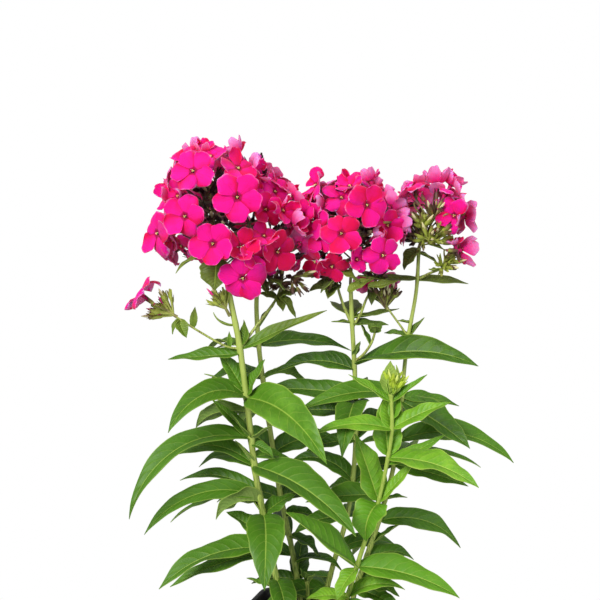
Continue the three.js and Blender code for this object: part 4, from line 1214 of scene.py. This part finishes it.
flower_head(
    "head_left",
    IN_FLOWER,
    stalks=[
        [[-77.3, -14, 374.6], [-79, -14, 380], [-85, -14, 405], [-88, -14, 440]],
        [[-54, 21, 370.6], [-53, 20, 376], [-50, 18, 400], [-52, 18, 436]],
        [[-36.7, -2.8, 363.8], [-36, -3, 367], [-36, -3, 380], [-36, -2, 396]],
        [[-85, -14, 405], [-68, 2, 402], [-50, 18, 400], [-36, -3, 386]],
    ],
    florets=[
        [0, -66, -56, 436, -86, 6, 17.5, -4, 18, 0.7],
        [0, -98, -46, 454, -112, 28, 16, 4, 12, 0.95],
        [0, -104, -50, 422, -115, 8, 15.5, 0, 39, 0.7],
        [0, -84, -54, 403, -100, 3, 16, 0, 16, 0.85],
        [0, -63, -50, 377.5, -88, -8, 17.5, -6, 52, 0.9],
        [0, -64, -46, 400, -76, 24, 14, 26, 30, 0.1], [0, -127, -27, 407, -143, 0, 17, -8, 43, 0.8],
        [0, -119, -18, 433, -168, 12, 13, 20], [0, -87, -18, 463, -92, 62, 14, 14, 30, 0.9],
        [0, -108, -16, 460, -150, 40, 13, 10], [0, -99, 4, 463, 125, 55, 12, 35],
        [0, -66, -30, 455, -55, 42, 14, 8], [0, -48, -36, 407, -70, 48, 12, 10],
        [0, -91, -20, 390, -110, -45, 12], [0, -110, -18, 396, -140, -38, 13],
        [0, -121, 4, 388, 165, -25, 12], [0, -116, 14, 446, 150, 22, 14],
        [0, -116, 16, 416, 155, 0, 14], [0, -95, 30, 430, 105, 15, 15],
        [0, -98, 26, 400, 115, -12, 14], [0, -78, 30, 453, 85, 42, 14],
        [0, -77, 33, 424, 88, 8, 14], [0, -84, 26, 388, 100, -26, 13],
        [0, -112, 30, 424, 132, 4, 13], [1, -68, -2, 464, 165, 52, 12, 50],
        [1, -54, 2, 451, 40, 40, 12, 30], [1, -40, -6, 436, -35, 22, 14],
        [1, -39, 2, 440, 10, 40, 12, 20], [1, -27, 4, 430, 25, 15, 12, 25],
        [1, -47, -22, 424, -75, 10, 12.5, 12], [1, -30, 36, 404, 45, -4, 14],
        [1, -48, 50, 422, 88, 10, 15], [1, -58, 42, 448, 95, 45, 14],
        [1, -66, 44, 402, 112, -12, 14], [2, -38, -32, 394, -58, -4, 16, 6, 58, -0.1],
        [2, -27, -18, 413, 5, 20, 13, 30, 45, 0.3], [2, -22, -6, 397, 60, 15, 12.5, 10],
        [2, -22, 6, 381, -10, -35, 10], [2, -49, -18, 378, -85, -45, 11],
        [1, -34, -18, 423, -40, 10, 13, 40], [0, -116, -20, 401, -150, -15, 13, 10],
        [0, -111, -26, 434, -130, 5, 12, 15], [0, -93, -10, 466, -100, 72, 10, 62],
        [1, -54, -16, 450, 0, 30, 12, 30, 65, 0.9], [0, -57, -44, 394, -50, 10, 12, 30],
        [1, -58, -24, 441, -30, 25, 13, 10], [1, -36, 20, 424, 20, 20, 14],
        [1, -40, 30, 440, 60, 40, 13],
    ],
    buds=[
        [0, -92, -34, 442, 2.6], [0, -86, -36, 424, 2.4], [0, -76, -34, 418, 2.4],
        [2, -44, -10, 362, 2.2], [2, -30, -10, 362, 2.2], [2, -26, 0, 366, 2.2],
    ],
    clusters=[
        [12, -45, -6, 366, -80, 60, 15, 70, 0.5, 0.1],
        [10, -76, -20, 404, -95, 20, 20, 60, 0.95, 0],
        [8, -92, -24, 430, -60, 20, 18, 60, 0.95, 0.2],
        [10, -29, -8, 372, -35, -20, 16, 62, 0.4, 0.1], [9, -60, -6, 412, -95, 10, 20, 72, 0.9, 0],
        [10, -83, -6, 415, -90, 10, 22, 75, 0.9, 0], [9, -84, -6, 440, -90, 10, 18, 75, 0.9, 0],
        [8, -44, -4, 404, -80, 0, 18, 75, 0.8, 0],
    ],
    bracts=[
        [-83, -30, 388, 262, 23, 23, -45, -100, 10, 0.5],
        [-92, -34, 392, 200, 25, 7, 0, -60, 0, 0.5], [-50, -24, 372, -60, 12, 7, -30, -70, 0, 0.2],
        [-44, -16, 372, -20, 14, 7, -10, -60, 0, 0.4],
        [-56, -10, 374, 250, 14, 7, -20, -70, 0, 0.3],
    ],
    spares=3,
)

# ---- Middle head -------------------------------------------------------------------------
# A rounder, slightly more open head. Its flowers are the same, and the lowest hang from a side
# branch.

flower_head(
    "head_middle",
    IN_FLOWER,
    stalks=[
        [[16, 15, 362.6], [16, 15, 368], [18, 14, 395], [19, 14, 424]],
        [[34.3, 14, 362.6], [35, 14, 366], [36, 13, 376], [20, 14, 398]],
        [[4.9, 11, 368.6], [4, 11, 372], [5, 12, 382], [14, 14, 396]],
    ],
    florets=[
        [0, 26, -30, 428, -74, 12, 15.5, 0, 19, 0.45], [0, 7, -34, 408, -95, 12, 15, 0, 4, 0.2],
        [0, 38, -28, 391, -70, 0, 14.5, 0, -1, 0.95], [0, 19, -26, 388, -60, 10, 10, 12, 50, 1.5],
        [0, -12, 2, 440, -150, 28, 13, 10, 64, 0.6], [0, 8, -6, 432, -95, 58, 15, 5, 53, 0.6],
        [0, 16, 16, 440, -100, 74, 12, 30], [0, 30, 16, 437, 50, 50, 12, 30],
        [0, 33, 6, 436, -25, 45, 12, 5], [0, 44, 10, 428, 20, 30, 12, 25],
        [0, 42, -14, 411, -70, -18, 13, 10], [0, 49, 14, 404, 8, -15, 12],
        [0, -13, -10, 414, -130, 5, 14, 10], [2, 1, -12, 380, -95, -30, 12.5, 6, 40, 0],
        [2, -12, -6, 383, -140, -30, 12, 10, 30, 0.1], [0, -14, 22, 426, 165, 15, 14],
        [0, 4, 48, 424, 105, 18, 15], [0, 36, 46, 412, 60, 2, 14], [0, 16, 48, 396, 90, -18, 13],
        [1, 28, 24, 364, 110, -40, 11, 20], [0, 30, 8, 443, 120, 60, 10, 65],
        [0, 14, -2, 440, -120, 60, 11, 25], [0, 44, -6, 424, 60, 10, 12, 30],
        [0, 50, -8, 414, 30, 0, 12, 20], [0, 54, -2, 405, 10, -20, 11, 20],
        [0, 33, -20, 405, -60, 30, 9, 68], [0, -21, -10, 419, -120, 20, 12, 20],
        [0, -8, -14, 403, -110, 0, 12, 10], [0, -6, -8, 426, 170, 10, 11, 20],
        [0, -17, 4, 428, -170, 40, 12, 5], [1, 45, 14, 366, 60, -30, 9, 20],
        [0, 44, 30, 424, 40, 30, 13], [0, -2, 34, 434, 130, 50, 13],
    ],
    buds=[
        [0, 30, -18, 408, 2.6], [0, 20, -16, 420, 2.4], [1, 44, 22, 374, 2.2], [2, 2, -2, 366, 2.2],
    ],
    clusters=[
        [12, 18, 4, 412, -95, 10, 22, 60, 0.95, 0.1], [10, 4, 6, 372, -130, -10, 14, 75, 0.45, 0],
        [8, 34, -2, 384, -60, 0, 14, 70, 0.9, 0],
    ],
    bracts=[
        [13, -6, 361, 8, 22, 9, 40, 10, 30, 1.1], [28, -8, 366, -5, 22, 8, 0, 20, 30, 0.8],
        [8, -8, 376, 0, 16, 9, -10, -50, 20, 0.9], [4, -2, 370, 200, 16, 8, -20, -60, 0, 0.3],
        [0, 4, 372, 170, 15, 6, 10, -30, 0, 0.2],
    ],
)

# ---- Right head --------------------------------------------------------------------------
# The smallest head is still opening: flowers stand round its rim, and its middle is a cluster
# of green and purple calyces with pale buds.

flower_head(
    "head_right",
    IN_FLOWER,
    stalks=[[[67.7, 15, 391.6], [68.5, 13, 395], [72, 8, 401], [76, 6, 412]]],
    florets=[
        [0, 57, -2, 436, 150, 48, 14.5, -14, 20, 0.6], [0, 65, 8, 440, 70, 62, 12, 10, 40, 0.8],
        [0, 79, 2, 442, 80, 64, 13.5, 48, 20, 1.1], [0, 90, 6, 440, 30, 55, 12, 45, 60, 0.9],
        [0, 85, 0, 434, 50, 52, 13, -8, 30, 1.2], [0, 97, 2, 431, 0, 28, 13, -20, 10, 0.7],
        [0, 90, -10, 418, -130, -2, 13, 34, 16, 0.9], [0, 101, 0, 416, 22, -8, 13.5, 20, 44, 0.8],
        [0, 54, 8, 425, -170, 5, 11, 20, 15, 0.2], [0, 80, 24, 445, 80, 55, 12],
        [0, 70, 42, 430, 100, 20, 14], [0, 93, 38, 418, 52, 8, 13], [0, 55, 34, 412, 145, 0, 13],
    ],
    buds=[[0, 66.4, -8, 414, 1.7], [0, 79, -11, 409, 1.9], [0, 84, -4, 430, 1.7]],
    clusters=[
        [7, 68, -5, 408, -100, 65, 13, 52, 0, 0.35], [6, 76, -2, 415, -60, 72, 13, 44, 0.3, 0.35],
        [7, 72, -7, 400, -90, 42, 13, 62, 0, 0.3], [6, 79, -6, 404, -50, 45, 13, 52, 0.05, 0.6],
        [7, 63, -2, 403, -150, 58, 13, 50, 0.6, 0], [6, 64, 0, 398, -165, 30, 12, 55, 0.6, 0],
        [7, 77, -1, 397, -25, 22, 15, 46, -0.1, 0.1], [7, 69, 0, 399, -100, 10, 11, 70, 0.1, 0],
        [8, 74, 24, 410, 80, 60, 14, 58, 0.4, 0.2], [8, 82, 16, 402, 35, 30, 14, 58, 0.3, 0.2],
    ],
    bracts=[[74, 4, 396, -20, 13, 6, -10, -30, 0, 0.8], [76, 4, 399, -12, 18, 5, 22, 20, 20, 0.9]],
    spares=0,
    bud_tint=0.3,
    bud_tone=0.8,
)

# ---- Side sprays -------------------------------------------------------------------------
# Small side clusters on thin twigs: the left and the right one have an open flower among their
# buds. The bud clusters in the centre and under the left head have none yet.

flower_head(
    "spray_left",
    IN_FLOWER,
    stalks=[[[-114.6, -24, 346.4], [-117, -24.5, 348], [-119, -25, 350], [-121, -25, 353]]],
    florets=[[0, -140, -33, 365, 181, 36, 16, -3, 30, 0.7]],
    buds=[[0, -135, -27, 352, 1.4], [0, -131, -26, 346, 1.2], [0, -126, -26, 361, 1.4]],
    clusters=[
        [14, -115, -24, 347, 160, 48, 19, 46, -0.15, 0.2],
        [6, -116, -24, 346, 178, 8, 18, 26, -0.1, 0.3],
    ],
    spares=0,
    bud_tint=0.1,
    bud_tone=1.2,
)
flower_head(
    "spray_right",
    IN_FLOWER,
    stalks=[[[86.4, 5.8, 378.4], [88, 5, 380], [90, 5, 382], [92, 4, 385]]],
    florets=[[0, 99, 0, 391, 28, -4, 14, 26, 54, 0.8], [0, 92, -4, 397, -150, 70, 8, 30]],
    clusters=[
        [10, 85, 5, 379, -25, 40, 16, 40, 0.1, 0.5], [8, 84, 5, 378, -80, 30, 11, 55, -0.1, 0],
    ],
    spares=0,
)
flower_head(
    "spray_centre",
    IN_FLOWER,
    stalks=[[[43.3, 12, 346.4], [42.5, 12, 348], [42, 12, 351], [42, 12, 354]]],
    clusters=[[22, 42.5, 12, 345, -95, 82, 21, 38, 0.3, 0.4]],
)
flower_head(
    "buds_left",
    IN_FLOWER,
    stalks=[[[-75.4, -17.2, 346.6], [-76.4, -18.6, 349], [-78, -20, 352], [-80, -21, 355]]],
    buds=[[0, -91, -21, 366, 1.4], [0, -87, -20, 363, 1.2]],
    clusters=[[14, -77, -19, 350, 150, 58, 17, 44, -0.15, 0.25]],
    bud_tint=0.1,
    bud_tone=1.0,
)

# ---- Young buds --------------------------------------------------------------------------
# The flower head of the front shoot before it opens: pointed light green calyces packed on top
# of the stem, between the small leaves that wrapped them.

young_bud = bud_finish(
    "young_bud",
    fresh=(188, 214, 62),
    brown=(166, 180, 58),
    dark=(112, 84, 52),
    cream=(218, 228, 124),
)
flower_head(
    "young_buds",
    (petal_pink, young_bud, young_green, "young_green"),
    stalks=[[[44.6, -30, 289], [44.6, -30, 291], [44.6, -30, 293], [44.6, -30, 296]]],
    clusters=[
        [16, 44.6, -30, 289, 0, 84, 17, 26, 0.0, 0.3],
        [8, 46, -31, 289, -40, 72, 14, 34, -0.1, 0.4],
    ],
    node="shoot_front",
)

# ---- Fallen leaf -------------------------------------------------------------------------
# A leaf that yellowed, dried and dropped on the mix in a corner of the pot. It has gone stiff
# and curled, and its green is down to a brown and straw colour.

dead_leaf = leaf_finish(
    "dead_leaf",
    deep=(92, 60, 28),
    middling=(150, 110, 48),
    bright=(196, 164, 84),
    below=(186, 160, 104),
    rib=(206, 184, 116),
)
shed = leaf([-34, 34, 91.4], 138, 19, 9, 10, 50, tone=0.6, seed=9, fold=34)
fallen_leaf = joined("dry_leaf", [shed])
dress(fallen_leaf, dead_leaf, "dead_leaf", "fallen_leaf")

# ---- Floor, light and camera -------------------------------------------------------------
# A plain pale round table top under the pot, in a white studio. One big soft lamp above and to
# the left in front, a weaker one on the right, and one from above.

TARGET = np.array([-2.5, 10, 353.5])
CAMERA_DISTANCE = 940
CAMERA_TILT = 10
LENS = 75.2
SENSOR = 36
FLOOR_RADIUS = 0.24
FLOOR_DEPTH = 0.012
FLOOR_EDGE = 0.004
GLOW = 0.36

bpy.ops.mesh.primitive_cylinder_add(
    vertices=96, radius=FLOOR_RADIUS, depth=FLOOR_DEPTH, location=(0, 0, -FLOOR_DEPTH / 2)
)
floor = bpy.context.object
settle(floor, "floor")
edit_mode()
pick(floor, "EDGE", corner_between(0, True))
bpy.ops.mesh.bevel(offset=FLOOR_EDGE, segments=4, affect="EDGES")
edit_mode(False)
bpy.ops.object.shade_smooth_by_angle(angle=math.radians(40))
paper, _ = start_material("white_paper", 0.9, Base_Color=(0.9, 0.9, 0.9, 1))
floor.data.materials.append(paper)

for name, place, size, power, tint in (
    ("key", (-0.75, -1.2, 1.2), 0.7, 30, (1.0, 0.985, 0.96)),
    ("fill", (1.2, -1.1, 0.45), 1.0, 7, (0.97, 0.985, 1.0)),
    ("top", (0.1, 0.3, 1.7), 0.8, 7, (1.0, 1.0, 1.0)),
):
    bpy.ops.object.light_add(type="AREA", location=place)
    lamp = bpy.context.object
    lamp.name = name
    lamp.data.size = size
    lamp.data.energy = power
    lamp.data.color = tint
    aim = Vector(TARGET * MM) - lamp.location
    lamp.rotation_euler = aim.to_track_quat("-Z", "Y").to_euler()

# The studio looks white from wherever it is seen, and sheds a softer light on the plant.
world = bpy.data.worlds.new("studio")
world.use_nodes = True
tree = world.node_tree
sky = tree.nodes["Background"]
sky.inputs["Color"].default_value = (1, 1, 1, 1)
seen = add("LightPath").outputs["Is Camera Ray"]
tree.links.new(scaled(seen, 1 - GLOW, GLOW), sky.inputs["Strength"])
bpy.context.scene.world = world
bpy.context.scene.view_settings.view_transform = "Standard"

tilt = math.radians(CAMERA_TILT)
stand_off = np.array([0, -math.cos(tilt), math.sin(tilt)]) * CAMERA_DISTANCE
bpy.ops.object.camera_add(location=(TARGET + stand_off) * MM)
camera = bpy.context.object
camera.rotation_euler = (math.pi / 2 - tilt, 0, 0)
camera.data.lens = LENS
camera.data.sensor_width = SENSOR
bpy.context.scene.camera = camera

# The masters have been copied wherever they are needed.
for master in (blade, rod, petal, thin_rod, cup, spindle):
    bpy.data.objects.remove(master)
